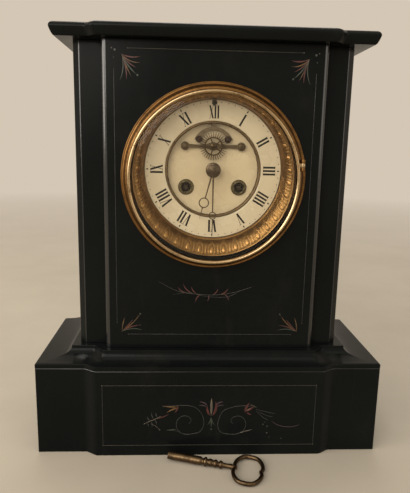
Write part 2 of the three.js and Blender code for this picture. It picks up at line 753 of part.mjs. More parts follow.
function makeEscapement() {
  const lobeRadius = bridgeLobeRadius;
  const halfBar = bridgeBarHeight / 2;
  const bar = new THREE.Shape();
  bar.moveTo(-bridgeScrewX, -halfBar);
  bar.lineTo(-4.5, -halfBar);
  bar.quadraticCurveTo(0, -halfBar - 4.6, 4.5, -halfBar);
  bar.lineTo(bridgeScrewX, -halfBar);
  bar.lineTo(bridgeScrewX, halfBar);
  bar.lineTo(4.5, halfBar);
  bar.quadraticCurveTo(0, halfBar + 4.6, -4.5, halfBar);
  bar.lineTo(-bridgeScrewX, halfBar);
  const sides = [-1, 1];
  const lobes = sides.map((s) => rodY(lobeRadius, bridgeY, bridgeY + bridgeThickness, s * bridgeScrewX, 0, 16));
  const posts = sides.map((s) => rodY(bridgePostRadius, bridgeY + 0.5, frontPlateSetback - clearance,
    s * bridgeScrewX, 0, 12));
  const screwShank = 1.1;
  const taps = sides.map((s) => rodY(screwShank + clearance, bridgeY - 1, bridgeY + 3, s * bridgeScrewX, 0));
  const pivot = rodY(arborRadius + clearance, bridgeY - 5, bridgeY + 5, 0, 0, 10);
  const bridge = cut(join(flat(bar, bridgeThickness, bridgeY, 4), ...lobes, ...posts), pivot, ...taps);
  place('escapement_bridge', bridge, brass, movement, 0, 0, escapeZ);
  sides.forEach((s) => {
    const headBack = bridgeY - clearance;
    const profile = [[0, headBack - 1], [1.9, headBack - 1], [2.5, headBack - 0.5], [2.5, headBack],
      [screwShank, headBack], [screwShank, headBack + 2.6], [0, headBack + 2.6]];
    const slot = block(-4, 4, headBack - 2, headBack - 0.6, -0.3, 0.3);
    const name = s < 0 ? 'bridge_screw_left' : 'bridge_screw_right';
    place(name, cut(turned(profile, 12), slot), steel, movement, s * bridgeScrewX, 0, escapeZ);
  });

  const wheel = toothed(escapeTeeth, escapeRimRadius, escapeTipRadius, 0.42, 0.1, Math.PI / 2, 0.28);
  crossings(wheel, 5, 2.4, escapeRimRadius - escapeRimWidth, 1.1, Math.PI / 2 + 0.35, 4);
  place('escape_wheel', join(
    flat(wheel, escapeWheelThickness, escapeWheelY),
    rodY(2.1, escapeWheelY - 0.5, escapeWheelY + escapeWheelThickness + 0.4, 0, 0, 12),
    rodY(arborRadius, escapeWheelY - 1.2, thirdWheelY + pinionLength + 3, 0, 0, 10),
    pinion(trainLeaves, trainPinionTip, thirdWheelY - 0.6, pinionLength),
  ), gilt, movement, 0, 0, escapeZ);
}

// Anchor with its two half-round pallets, its arbor and the crutch at the back, hung on the anchor's axis
function makeAnchor() {
  const drop = anchorZ - escapeZ;
  const crown = 16.6;
  const horn = palletCircle * Math.sin(palletAngle) + 4.2;
  const hornZ = palletCircle * Math.cos(palletAngle) - 0.4;
  const arcThrough = (half, low, top) => {
    const rise = top - low;
    const radius = (half * half + rise * rise) / (2 * rise);
    return { radius, centre: top - radius, spread: Math.asin(Math.min(1, half / radius)) };
  };
  const outer = arcThrough(horn, hornZ, crown);
  const innerHalf = palletCircle * Math.sin(palletAngle) - palletRadius - 0.2;
  const inner = arcThrough(innerHalf, hornZ + 0.6, crown - 2.6);
  const shape = new THREE.Shape();
  shape.absarc(0, outer.centre, outer.radius, Math.PI / 2 + outer.spread, Math.PI / 2 - outer.spread, true);
  shape.absarc(0, inner.centre, inner.radius, Math.PI / 2 - inner.spread, Math.PI / 2 + inner.spread, false);
  const crescent = flat(shape, anchorThickness, anchorY, 14).translate(0, 0, -drop);
  const stem = block(-2, 2, anchorY, anchorY + anchorThickness, crown - 1.4 - drop, 0);
  const hub = rodY(2.4, anchorY, anchorY + anchorThickness, 0, 0, 12);
  const crutchY = backPlateBack + 1;
  const crutchEnd = -22;
  const arbor = rodY(arborRadius, anchorY, crutchY + 1.4, 0, 0, 10);
  const crutch = block(-1.1, 1.1, crutchY, crutchY + 1.4, crutchEnd, 0);
  const forkHalf = rodRadius + clearance;
  const forkBack = rodSetback + rodRadius + 0.6;
  const yoke = block(-forkHalf - 1.2, forkHalf + 1.2, crutchY, crutchY + 1.4, crutchEnd - 2, crutchEnd + 1);
  const prongs = [-1, 1].map((s) => block(Math.min(s * forkHalf, s * (forkHalf + 1.2)),
    Math.max(s * forkHalf, s * (forkHalf + 1.2)), crutchY, forkBack, crutchEnd - 2, crutchEnd));
  const boss = rodY(2.4, crutchY, crutchY + 1.4, 0, 0, 12);
  place('pallet_anchor', join(crescent, stem, hub, arbor, crutch, yoke, ...prongs, boss),
    steel, movement, 0, 0, anchorZ);

  const palletLength = anchorY - clearance - (escapeWheelY - 0.5);
  [-1, 1].forEach((s) => {
    const half = new THREE.Shape();
    const facing = -Math.PI / 2 - s * palletAngle;
    half.absarc(0, 0, palletRadius, facing - Math.PI / 2, facing + Math.PI / 2, false);
    const x = s * palletCircle * Math.sin(palletAngle);
    const z = palletCircle * Math.cos(palletAngle) + escapeZ;
    const name = s < 0 ? 'pallet_left' : 'pallet_right';
    place(name, flat(half, palletLength, escapeWheelY - 0.5, 8), ruby, movement, x, 0, z);
  });
}

// Hands in the moon style: a slim shaft, a pierced ring and a fine point
const hourHandY = chapterSetback - 2.2 - handThickness;
const minuteHandY = hourHandY - 1.5 - handThickness;
const hourHandAngle = THREE.MathUtils.degToRad(195);
const minuteHandAngle = Math.PI;

function hand(length, ringAt, ringRadius, wire) {
  const shaft = new THREE.Shape([[-0.8, 0], [-0.55, ringAt], [0.55, ringAt], [0.8, 0]]
    .map(([x, y]) => new THREE.Vector2(x, y)));
  const point = new THREE.Shape([[-0.7, ringAt], [-0.2, length], [0.2, length], [0.7, ringAt]]
    .map(([x, y]) => new THREE.Vector2(x, y)));
  const whole = join(flat(shaft, handThickness), flat(point, handThickness),
    rodY(ringRadius, 0, handThickness, 0, ringAt, 16));
  return cut(whole, rodY(ringRadius - wire, -1, handThickness + 1, 0, ringAt, 16));
}

function makeHands() {
  const hourBack = frontPlateSetback - 3.5;
  const hourWheelTip = 10.4;
  const hourWheel = flat(fineTeeth(40, hourWheelTip - 0.9, hourWheelTip), 0.9, hourBack - 0.9);
  const bore = rodY(cannonRadius + clearance, 0, plinthDepth, 0, 0, 12);
  const hourBoss = turned([[0, hourHandY - 0.6], [hourBossRadius - 1.2, hourHandY - 0.6],
    [hourBossRadius, hourHandY + 0.4], [hourBossRadius, hourHandY + 1.4], [0, hourHandY + 1.4]], 18);
  const hourHand = hand(hourLength, hourRingAt, hourRingRadius, 1).translate(0, hourHandY, 0)
    .rotateY(hourHandAngle);
  const hourPipe = rodY(hourPipeRadius, hourHandY, hourBack, 0, 0, 12);
  place('hour_hand', cut(join(hourHand, hourBoss, hourPipe, hourWheel), bore), blued, movement);

  const minuteHand = hand(minuteLength, minuteRingAt, minuteRingRadius, 0.9)
    .translate(0, minuteHandY, 0).rotateY(minuteHandAngle);
  const nutFront = minuteHandY - 2.2;
  const minuteBoss = turned([[0, nutFront], [1.5, nutFront], [2, nutFront + 0.5], [2.1, minuteHandY - 0.8],
    [minuteBossRadius - 1, minuteHandY - 0.6], [minuteBossRadius, minuteHandY],
    [minuteBossRadius, minuteHandY + handThickness], [0, minuteHandY + handThickness]], 16);
  const cannonBack = frontPlateBack - 0.3;
  const cannon = rodY(cannonRadius, minuteHandY, cannonBack, 0, 0, 12);
  const cannonPinion = pinion(12, cannonPinionTip, hourBack + clearance, 2.4);
  place('minute_hand', join(minuteHand, minuteBoss, cannon, cannonPinion), blued, movement);

  const idleY = hourBack + clearance + 0.4;
  const idleX = -(cannonPinionTip + idleTip + meshGap);
  place('motion_wheel', join(
    flat(fineTeeth(36, idleTip - 0.9, idleTip), 1, idleY),
    rodY(1.2, hourBack - 0.9, frontPlateSetback - clearance),
    pinion(10, idleDistance - hourWheelTip - meshGap, hourBack - 0.9, 2),
  ), brass, movement, idleX, 0, 0);
}

const cannonPinionTip = 3.3;
const idleTip = 9.1;
const idleDistance = cannonPinionTip + idleTip + meshGap;

// Trains between the plates
function makeTrains() {
  const centreShape = fineTeeth(trainTeeth, trainWheelTip - 1.1, trainWheelTip);
  crossings(centreShape, 4, 4, trainWheelTip - 2.7, 1.6);
  place('centre_wheel', join(
    flat(centreShape, wheelThickness, centreWheelY),
    rodY(3, frontPlateBack + 0.6, centreWheelY + wheelThickness + 0.6, 0, 0, 12),
    rodY(1.5, frontPlateBack + 0.3, pivotTo, 0, 0, 10),
    pinion(8, centrePinionTip, intermediateWheelY - 0.6, pinionLength),
  ), brass, movement);
  place('third_wheel', wheelOnArbor({
    teeth: trainTeeth, tip: trainWheelTip, wheelY: thirdWheelY, leaves: trainLeaves,
    pinionTip: trainPinionTip, pinionY: centreWheelY - 0.6, from: pivotFrom, to: pivotTo,
  }), brass, movement, thirdX, 0, thirdZ);
  place('intermediate_wheel', wheelOnArbor({
    teeth: 64, tip: intermediateTip, wheelY: intermediateWheelY, leaves: 9,
    pinionTip: barrelPinionTip, pinionY: barrelWheelY, from: pivotFrom, to: pivotTo,
  }), brass, movement, intermediateX, 0, intermediateZ);

  const coreRadius = 2.6;
  const drumBore = rodY(coreRadius + clearance, 0, plinthDepth, 0, 0, 16);
  const drum = turned([[0, barrelY], [barrelDrumRadius - 0.8, barrelY], [barrelDrumRadius, barrelY + 0.8],
    [barrelDrumRadius, barrelWheelY + 0.1], [0, barrelWheelY + 0.1]], 24);
  const barrelShape = fineTeeth(barrelTeeth, barrelWheelTip - 1.3, barrelWheelTip);
  const barrel = cut(join(drum, flat(barrelShape, barrelWheelThickness, barrelWheelY)), drumBore);
  place('going_barrel', barrel, brass, movement, windingX, 0, windingZ);
  place('strike_barrel', barrel.clone(), brass, movement, -windingX, 0, windingZ);

  const half = windingSquare / 2;
  const ratchetY = frontPlateSetback - clearance - ratchetThickness;
  const arbor = join(
    block(-half, half, centreSetback - 3, ratchetY + 0.5, -half, half),
    flat(fineTeeth(ratchetTeeth, ratchetRoot, ratchetTip, 0.4), ratchetThickness, ratchetY),
    rodY(coreRadius, ratchetY + 0.5, pivotTo, 0, 0, 16),
  );
  place('going_winding_arbor', arbor, steel, movement, windingX, 0, windingZ);
  place('strike_winding_arbor', arbor.clone(), steel, movement, -windingX, 0, windingZ);

  const countY = backPlateBack + 0.8;
  const second = wheelOnArbor({
    teeth: 64, tip: secondTip, wheelY: intermediateWheelY, leaves: 9,
    pinionTip: barrelPinionTip, pinionY: barrelWheelY, from: pivotFrom, to: countY + 2.4,
  });
  place('strike_second_wheel', second, brass, movement, secondX, 0, secondZ);
  place('count_wheel', countWheel(countY), brass, movement, secondX, 0, secondZ);

  const pinCount = 8;
  const pins = [];
  for (let i = 0; i < pinCount; i += 1) {
    const angle = (i / pinCount) * 2 * Math.PI;
    const reach = pinWheelTip - 2.1;
    pins.push(rodY(0.5, pinWheelY - 1.8, pinWheelY + 0.4, reach * Math.cos(angle), reach * Math.sin(angle), 5));
  }
  const pinWheel = wheelOnArbor({
    teeth: 50, tip: pinWheelTip, wheelY: pinWheelY, leaves: 8,
    pinionTip: trainPinionTip, pinionY: intermediateWheelY - 0.6, from: pivotFrom, to: pivotTo,
  });
  place('pin_wheel', join(pinWheel, ...pins), brass, movement, pinWheelX, 0, pinWheelZ);
}

// Count wheel: a notch after each hour's blows and a wide one that takes in the half hour
function countWheel(y) {
  const tip = 13.4;
  const root = 11.6;
  const blows = 90;
  const points = [];
  let struck = 0;
  for (let hour = 1; hour <= 12; hour += 1) {
    const from = (struck / blows) * 2 * Math.PI;
    const notch = (1.5 / blows) * 2 * Math.PI;
    const to = ((struck + hour + 1) / blows) * 2 * Math.PI;
    const at = (r, angle) => points.push(new THREE.Vector2(r * Math.cos(angle), r * Math.sin(angle)));
    at(root, from);
    at(root, from + notch);
    const arcSteps = Math.max(1, Math.round(hour / 3));
    for (let i = 0; i <= arcSteps; i += 1) at(tip, from + notch + ((to - from - notch) * i) / arcSteps);
    struck += hour + 1;
  }
  const shape = new THREE.Shape(points);
  crossings(shape, 3, 4.6, root - 2, 2.2);
  const bore = new THREE.Path();
  bore.absarc(0, 0, arborRadius + clearance, 0, 2 * Math.PI, true);
  shape.holes.push(bore);
  return flat(shape, 1.2, y, 6);
}

// Bell on its stand behind the back plate, and the hammer beside its rim
const bellMouthY = backPlateBack + bellMouthGap;

function makeStrike() {
  const apex = bellMouthY + bellDepth;
  const outerPoints = [];
  const innerPoints = [];
  const steps = 4;
  for (let i = 0; i <= steps; i += 1) {
    const angle = (i / steps) * (Math.PI / 2);
    const flare = i === 0 ? 0.8 : 0;
    outerPoints.push([bellRadius * Math.cos(angle) ** 0.7 + flare, bellMouthY + bellDepth * Math.sin(angle)]);
    innerPoints.unshift([(bellRadius - bellWall) * Math.cos(angle) ** 0.7 + flare,
      bellMouthY + (bellDepth - bellWall) * Math.sin(angle)]);
  }
  const bowl = turned([...outerPoints, ...innerPoints, outerPoints[0]], 24);
  const bell = cut(bowl, rodY(bellStandRadius + 2 * clearance, bellMouthY, apex + 5, 0, 0, 12));
  place('bell', bell, gilt, movement, 0, 0, bellZ);

  const footY = backPlateBack + clearance;
  const stand = tube([
    [bellFootX, footY, bellFootZ], [bellFootX, footY + 4.7, bellFootZ],
    [bellFootX - 1, bellMouthY, bellFootZ + 1], [bellFootX / 3, bellMouthY + 7, bellZ - 9],
    [0, apex - 5, bellZ], [0, apex + 1.6, bellZ],
  ], bellStandRadius, 12, 8);
  const nut = rodY(3.4, apex + clearance, apex + 2.2, 0, bellZ, 6);
  const base = rodY(4.5, footY, footY + 1.4, bellFootX, bellFootZ, 16);
  place('bell_stand', join(stand, nut, base), steel, movement);

  const armY = backPlateBack + 4.6;
  const headX = -(bellRadius + 0.8 + 0.7 + 3.2) - hammerArborX;
  const headZ = bellZ + 2 - hammerArborZ;
  const arm = tube([[0, armY, 0], [1.5, armY, headZ * 0.4], [headX, bellMouthY + 1, headZ]], 0.9, 8, 6);
  const head = rodY(3.2, bellMouthY - 3, bellMouthY + 5, headX, headZ, 16);
  const tailAngle = Math.atan2(pinWheelZ - hammerArborZ, pinWheelX - hammerArborX);
  const tail = block(0, 6.6, pinWheelY - 1.6, pinWheelY, -0.7, 0.7).rotateY(-tailAngle);
  const shaft = rodY(arborRadius, pivotFrom, armY + 1, 0, 0, 10);
  const collar = rodY(2.2, armY - 1, armY + 1.2, 0, 0, 12);
  place('hammer', join(arm, head, tail, shaft, collar), steel, movement, hammerArborX, 0, hammerArborZ);
}

// Suspension cock on the back plate, spring, pendulum, and the arbor that regulates it from the dial
function makePendulum() {
  const cockBack = rodSetback + 4;
  const cockLow = anchorZ + 0.6;
  const jaw = block(-6, 6, backPlateBack, cockBack, cockLow, regulatorZ + 4.4);
  const springSlot = block(-4.3, 4.3, rodSetback - 0.5, rodSetback + 0.5, cockLow - 1, cockLow + 3);
  const arborBore = rodY(arborRadius + clearance, 0, plinthDepth, 0, regulatorZ, 12);
  const crutchRoom = block(-3.2, 3.2, 0, backPlateBack + 2.9, cockLow - 1, anchorZ + 3);
  place('suspension_cock', cut(jaw, springSlot, arborBore, crutchRoom), brass, movement);

  const springLength = 9;
  const spring = block(-4, 4, -0.15, 0.15, -springLength, 2.6);
  const lowerClamp = block(-4.6, 4.6, -1.3, 1.3, -springLength - 3, -springLength + 0.2);
  place('suspension_spring', join(spring, lowerClamp), steel, movement, 0, rodSetback, anchorZ);

  const rodTop = -springLength - 3 - clearance;
  const bobLow = -pendulumLength - bobRadius;
  const rod = join(
    rodZ(rodRadius, bobLow - 6, rodTop, 0, 0, 12),
    rodZ(3, bobLow - 4.4, bobLow - 1.6, 0, 0, 12),
  );
  const hook = block(-3, 3, -1.3, 1.3, rodTop - 2.4, rodTop);
  place('pendulum_rod', join(rod, hook), brass, movement, 0, rodSetback, anchorZ);
  const t = bobThickness / 2;
  const bobProfile = [[0, -t], [bobRadius * 0.45, -t * 0.88], [bobRadius * 0.82, -t * 0.5],
    [bobRadius, -0.9], [bobRadius, 0.9], [bobRadius * 0.82, t * 0.5], [bobRadius * 0.45, t * 0.88], [0, t]];
  const bobBore = rodZ(rodRadius + clearance, -bobRadius - 1, bobRadius + 1, 0, 0, 12);
  place('pendulum_bob', cut(turned(bobProfile, 24), bobBore), brass, movement,
    0, rodSetback, anchorZ - pendulumLength);

  const regulatorTip = chapterSetback + 0.4;
  const square = block(-0.9, 0.9, regulatorTip, regulatorTip + 6, -0.9, 0.9);
  const shaft = rodY(arborRadius, regulatorTip + 5, cockBack + 1, 0, 0, 10);
  place('regulating_arbor', join(square, shaft), steel, movement, 0, 0, regulatorZ);
}

// Straps along the case bore, from the bezel's flange to the rear ring, and the rear ring's screws
const strapX = caseBoreRadius - strapThickness - 0.4;

function makeRear() {
  const collarDepth = 8;
  const collarRadius = strapX - 3.3;
  const ringProfile = [
    [rearRingRadius, bodyBack], [rearRingRadius, bodyBack + rearRingThickness - 0.6],
    [rearRingRadius - 0.8, bodyBack + rearRingThickness], [collarRadius - 1.6, bodyBack + rearRingThickness],
    [collarRadius - 1.6, bodyBack - collarDepth], [collarRadius, bodyBack - collarDepth],
    [collarRadius, bodyBack],
  ];
  const tabDepth = 3;
  const tabBack = bodyBack - clearance;
  const screwX = strapX - 1;
  const rearHingeX = -(rearDoorRadius + 3.2);
  const rearHingeY = bodyBack + rearRingThickness + clearance + hingeBarrelRadius;
  const barrels = fixedBarrels(-hingeBarrelRadius - clearance - 1)
    .map((piece) => piece.translate(rearHingeX, rearHingeY, 0));
  const screwHoles = [-1, 1].map((s) => rodY(1.5 + clearance, bodyBack - 1, bodyBack + 5, s * screwX, 0, 12));
  place('rear_ring', cut(join(ring(ringProfile, 36), ...barrels), ...screwHoles), brass, clock, 0, 0, boreHeight);

  [-1, 1].forEach((s) => {
    const from = panelSetback + clearance;
    const side = s < 0 ? 'left' : 'right';
    const x0 = s * strapX;
    const x1 = s * (strapX + strapThickness);
    const half = strapWidth / 2;
    const strip = block(Math.min(x0, x1), Math.max(x0, x1), from, tabBack, -half, half);
    const tabIn = s * (strapX - 4);
    const tab = block(Math.min(tabIn, x1), Math.max(tabIn, x1), tabBack - collarDepth - tabDepth,
      tabBack - collarDepth - 0.3, -half, half);
    const tapped = rodY(1.5 + clearance, tabBack - collarDepth - tabDepth - 1, tabBack, s * screwX, 0, 12);
    place(`strap_${side}`, cut(join(strip, tab), tapped), brass, clock, 0, 0, boreHeight);
    const headBack = bodyBack + rearRingThickness + clearance;
    const screw = [[0, tabBack - collarDepth - tabDepth], [1.5, tabBack - collarDepth - tabDepth],
      [1.5, headBack], [2.6, headBack], [2.6, headBack + 0.7], [2, headBack + 1.1], [0, headBack + 1.1]];
    place(`strap_screw_${side}`, toGeometry(toSolid(turned(screw, 12))), steel, clock,
      s * screwX, 0, boreHeight);
  });

  const doorY = bodyBack + rearRingThickness + 2 * clearance + 1.6;
  const skin = rearDoorThickness;
  const domeRadius = rearDoorRadius - 12;
  const doorProfile = [
    [0, doorY + rearDoorDome], [domeRadius * 0.6, doorY + rearDoorDome * 0.8], [domeRadius, doorY],
    [rearDoorRadius, doorY], [rearDoorRadius, doorY + skin], [domeRadius, doorY + skin],
    [domeRadius * 0.6, doorY + rearDoorDome * 0.8 + skin], [0, doorY + rearDoorDome + skin],
  ];
  const barrel = movingBarrel(5.2);
  const shift = (piece) => piece.translate(rearHingeX, rearHingeY, 0);
  const knob = turned([[0, doorY + 0.5], [1.6, doorY + 0.5], [1.4, doorY + 2.2], [2.4, doorY + 3.2],
    [1.8, doorY + 4.4], [0, doorY + 4.6]], 10).translate(rearDoorRadius - 7, 0, 0);
  const door = cut(join(turned(doorProfile, 32), ...barrel.body.map(shift), knob), shift(barrel.hole));
  place('rear_door', door, brass, clock, 0, 0, boreHeight);
}

// Winding key: a square-socketed pipe, turned collars, a tapered shank and an oval bow.
// It lies on its widest collar and on the far side of the bow.
function makeKey() {
  const r = keyPipeRadius;
  const shankEnd = keyPipeLength + keyShankLength;
  const collarFrom = keyPipeLength + 2.4;
  const collarTo = keyPipeLength + 3.6;
  const profile = [
    [0, 0], [r, 0], [r, keyPipeLength - 1.5], [r - 0.9, keyPipeLength - 0.4],
    [r - 1.2, keyPipeLength + 1], [keyCollarRadius, collarFrom], [keyCollarRadius, collarTo],
    [r - 1.4, keyPipeLength + 5], [r - 0.6, keyPipeLength + 8], [r - 0.6, keyPipeLength + 12],
    [r - 1.6, keyPipeLength + 14], [r - 0.2, keyPipeLength + 16], [r - 0.2, keyPipeLength + 17.4],
    [r - 1.6, keyPipeLength + 19], [r - 2, shankEnd], [0, shankEnd],
  ];
  const stem = turned(profile, 12).rotateZ(-Math.PI / 2);
  const socketHalf = keySocket / 2;
  const socket = block(-1, 14, -socketHalf, socketHalf, -socketHalf, socketHalf);
  const bowCentre = shankEnd - 1 + keyBowLength / 2;
  const reachX = keyBowLength / 2 - keyBowWire;
  const reachY = keyBowWidth / 2 - keyBowWire;
  const cusp = 1.6;
  const oval = [[-1, 0.24], [-0.86, 0.62], [-0.5, 0.93], [0, 1], [0.5, 0.93], [0.86, 0.62], [1, 0.24]];
  const bowSide = (s) => tube([
    [bowCentre - reachX + cusp, -s * 0.5, 0],
    ...oval.map(([along, across]) => [bowCentre + reachX * along, s * reachY * across, 0]),
    [bowCentre + reachX - cusp, -s * 0.5, 0],
  ], keyBowWire, 16, 6);
  const key = cut(join(stem, bowSide(1), bowSide(-1)), socket);
  const bowTip = bowCentre + reachX;
  const slope = Math.asin((keyCollarRadius - keyBowWire) / (bowTip - collarTo));
  const lying = new THREE.Group();
  const rest = 0.1;
  lying.position.set(keyX, keyY, keyCollarRadius + collarTo * Math.sin(slope) + rest);
  lying.rotation.set(0, slope, keyTurn, 'ZYX');
  clock.add(lying);
  place('winding_key', key, bronze, lying);
}

makePlinth();
makeCap();
makeBody();
makeTop();
makeBezel();
makeSightRing();
makeDoor();
makeDial();
makeFrame();
makeEscapement();
makeAnchor();
makeHands();
makeTrains();
makeStrike();
makePendulum();
makeRear();
makeKey();

export default part;
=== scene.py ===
import json
import math

import bmesh
import bpy
from mathutils import Matrix, Vector


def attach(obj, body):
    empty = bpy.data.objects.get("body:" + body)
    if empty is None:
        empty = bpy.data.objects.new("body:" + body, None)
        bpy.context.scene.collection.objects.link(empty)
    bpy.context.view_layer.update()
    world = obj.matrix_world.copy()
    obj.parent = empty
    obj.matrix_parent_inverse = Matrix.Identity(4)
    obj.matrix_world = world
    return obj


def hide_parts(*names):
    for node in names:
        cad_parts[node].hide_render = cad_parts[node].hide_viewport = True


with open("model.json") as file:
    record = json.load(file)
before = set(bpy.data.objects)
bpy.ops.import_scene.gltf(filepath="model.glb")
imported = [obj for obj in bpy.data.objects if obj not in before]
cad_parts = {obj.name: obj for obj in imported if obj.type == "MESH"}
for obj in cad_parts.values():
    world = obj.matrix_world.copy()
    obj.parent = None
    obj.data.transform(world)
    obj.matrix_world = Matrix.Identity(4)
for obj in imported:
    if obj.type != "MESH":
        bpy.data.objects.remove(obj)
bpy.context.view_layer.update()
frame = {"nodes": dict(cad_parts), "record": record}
nodes = frame["nodes"]
body_of = {node: body for body, held in frame["record"]["behaviour"]["bodies"].items() for node in held}

# Lengths are in millimetres. A shape's y counts back from the plinth's ends, FRONT before the frame's origin.
MM = 0.001
FRONT = 61.0

# The slabs of the case
PLINTH_HALF = 155
PLINTH_TOP = 81.3
PLINTH_FACE = -6.4
MIDDLE_HALF = 100
SHOULDER = 13.2
CASE_BACK = 122
BODY_FACE = 13.8
BODY_HALF = 95.0
BODY_TOP = 361.5

# Heights of the round work's centres, each set to its place in the photograph
DIAL_Z = 256.4
SIGHT_Z = 251.4
BEZEL_Z = 250.6
BORE_Z = 253.9
DOOR_Z = 249.4

# The movement's own places
ESCAPE_Z = DIAL_Z + 20.4
REGULATOR_Z = DIAL_Z + 57
WINDING_X = 23.5
WINDING_Z = DIAL_Z - 15.4
SUSPENSION_Z = DIAL_Z + 53.082
ESCAPE_TEETH = 32
ESCAPE_TIP = 12.1

# Hinges of the front door and of the rear door, as x, y and z
DOOR_HINGE = (75.0, 4.6, 262.4)
REAR_HINGE = (-74.7, 118.2, BORE_Z)

BACKDROP = (0.66, 0.57, 0.46, 1)
DAYLIGHT = (1.0, 0.96, 0.9)


# Node trees
def srgb(r, g, b):
    """A linear colour from the 0 to 255 values of a screen."""
    def linear(c):
        c /= 255
        return c / 12.92 if c <= 0.04045 else ((c + 0.055) / 1.055) ** 2.4
    return (linear(r), linear(g), linear(b), 1.0)


class Nodes:
    """Adds nodes to a shader tree. An input is a plain value or another node's output."""

    def __init__(self, tree):
        self.tree = tree

    def put(self, made, inputs):
        for key, value in inputs.items():
            if isinstance(value, bpy.types.NodeSocket):
                self.tree.links.new(value, made.inputs[key])
            else:
                made.inputs[key].default_value = value

    def add(self, kind, inputs=None, **props):
        made = self.tree.nodes.new("ShaderNode" + kind)
        for key, value in props.items():
            setattr(made, key, value)
        self.put(made, inputs or {})
        return made

    def math(self, operation, a, b):
        return self.add("Math", {0: a, 1: b}, operation=operation).outputs["Value"]

    def ramp(self, value, low, high, to_low=0.0, to_high=1.0):
        """The value carried from low and high to two new limits, and held at them."""
        return self.add("MapRange", {"Value": value, "From Min": low, "From Max": high,
                                     "To Min": to_low, "To Max": to_high}).outputs["Result"]

    def mix(self, share, a, b):
        return self.add("Mix", {"Factor": share, "A": a, "B": b}, data_type="RGBA").outputs["Result"]

    def blend(self, target, share, first, second):
        """Shows two shaders at the target, the second by its share."""
        both = self.add("MixShader", {"Fac": share, 1: first.outputs[0], 2: second.outputs[0]})
        self.put(self.tree.nodes[target], {"Surface": both.outputs[0]})


class Look(Nodes):
    """A material in the making, drawn on the object's own coordinates."""

    def __init__(self, name):
        self.material = bpy.data.materials.new(name)
        self.material.use_nodes = True
        super().__init__(self.material.node_tree)
        self.shader = self.tree.nodes["Principled BSDF"]
        self.coords = self.add("TexCoord").outputs["Object"]
        self.relief = {}

    def noise(self, scale, detail, rough, stretch=(1, 1, 1), distortion=0.0):
        mapped = self.add("Mapping", {"Vector": self.coords, "Scale": stretch}).outputs["Vector"]
        return self.add("TexNoise", {"Vector": mapped, "Scale": scale, "Detail": detail, "Roughness": rough,
                                     "Distortion": distortion}).outputs["Fac"]

    def bump(self, height, depth, strength):
        """Fine relief, its depth in millimetres, over the relief that is there already."""
        values = {"Height": height, "Distance": depth * MM, "Strength": strength, **self.relief}
        made = self.add("Bump", values)
        self.relief = {"Normal": made.outputs["Normal"]}

    def finish(self, inputs):
        self.put(self.shader, {**inputs, **self.relief})
        return self.material


# Materials
def slate(name, level, rough_low, rough_high):
    """Oiled black slate: cloudy, a little dusty, with upright smears and hair scratches."""
    look = Look(name)
    cloud = look.ramp(look.noise(9, 6, 0.62), 0.3, 0.7)
    grain = look.math("MULTIPLY", look.ramp(look.noise(900, 2, 0.5), 0.35, 0.65), 0.3)
    dust = look.ramp(look.noise(26, 8, 0.7, (1, 1, 0.35)), 0.56, 0.8, 0, 0.25)
    colour = look.mix(cloud, srgb(7, 9, 9), srgb(14, 16, 15))
    colour = look.mix(grain, colour, srgb(19, 21, 20))
    smear = look.ramp(look.noise(16, 7, 0.66, (1, 1, 0.25), 0.6), 0.3, 0.72, rough_low, rough_high)
    scratch = look.ramp(look.noise(260, 3, 0.6, (1, 1, 0.03)), 0.62, 0.72, 0, 0.05)
    look.bump(look.noise(700, 3, 0.6), 0.02, 0.35)
    look.bump(look.noise(22, 3, 0.5), 0.4, 0.12)
    return look.finish({"Base Color": look.mix(dust, colour, srgb(42, 40, 36)),
                        "Roughness": look.math("ADD", smear, scratch), "Specular IOR Level": level})


def rubble(name):
    look = Look(name)
    look.bump(look.noise(120, 8, 0.7), 1.5, 0.8)
    patch = look.ramp(look.noise(60, 8, 0.7), 0.35, 0.65)
    colour = look.mix(patch, srgb(120, 112, 98), srgb(168, 160, 146))
    return look.finish({"Base Color": colour, "Roughness": 0.95})


def metal(name, bright, dark, rough, spots, grain, rings=0.0, centre_z=0.0, chased=False, painted_shade=None,
          metallic=1.0):
    """Old metal: a bright ground under a dark patina in patches. Rings is the pitch of turning lines round
    a centre, chased keeps the hollows of a relief dark, and two heights of painted shade, when given, darken
    the colour near black below the first, fading that painted shade out by the second."""
    look = Look(name)
    patch = look.noise(grain, 7, 0.68, (1, 1, 1), 0.4)
    fine = look.noise(grain * 14, 4, 0.7)
    mottle = look.math("ADD", look.math("MULTIPLY", patch, 0.7), look.math("MULTIPLY", fine, 0.3))
    patina = look.ramp(mottle, 0.62 - 0.24 * spots, 0.66)
    if chased:
        lift = look.add("Attribute", attribute_name="lift").outputs["Fac"]
        patina = look.math("MAXIMUM", patina, look.ramp(lift, 0.05, 0.7, 0.8, 0.0))
    colour = look.mix(patina, srgb(*bright), srgb(*dark))
    speck = look.ramp(look.noise(grain * 40, 2, 0.5), 0.63, 0.72, 0, 0.45)
    colour = look.mix(speck, colour, srgb(*[c * 0.55 for c in dark]))
    if painted_shade:
        # Painted shade: below the lower height the colour goes near black, standing in for shadow.
        height = look.add("SeparateXYZ", {0: look.coords}).outputs["Z"]
        colour = look.mix(look.ramp(height, painted_shade[0] * MM, painted_shade[1] * MM), srgb(24, 21, 19), colour)
    look.bump(fine, 0.03, 0.4)
    if rings:
        mapped = look.add("Mapping", {"Vector": look.coords, "Location": (0, 0, -centre_z * MM)})
        wave = look.add("TexWave", {"Vector": mapped.outputs["Vector"], "Scale": math.pi / (10 * rings * MM),
                                    "Distortion": 0.8, "Detail": 2.0}, wave_type="RINGS", rings_direction="Y")
        look.bump(wave.outputs["Fac"], 0.02, 0.5)
    return look.finish({"Base Color": colour, "Metallic": metallic,
                        "Roughness": look.ramp(mottle, 0.35, 0.68, *rough)})


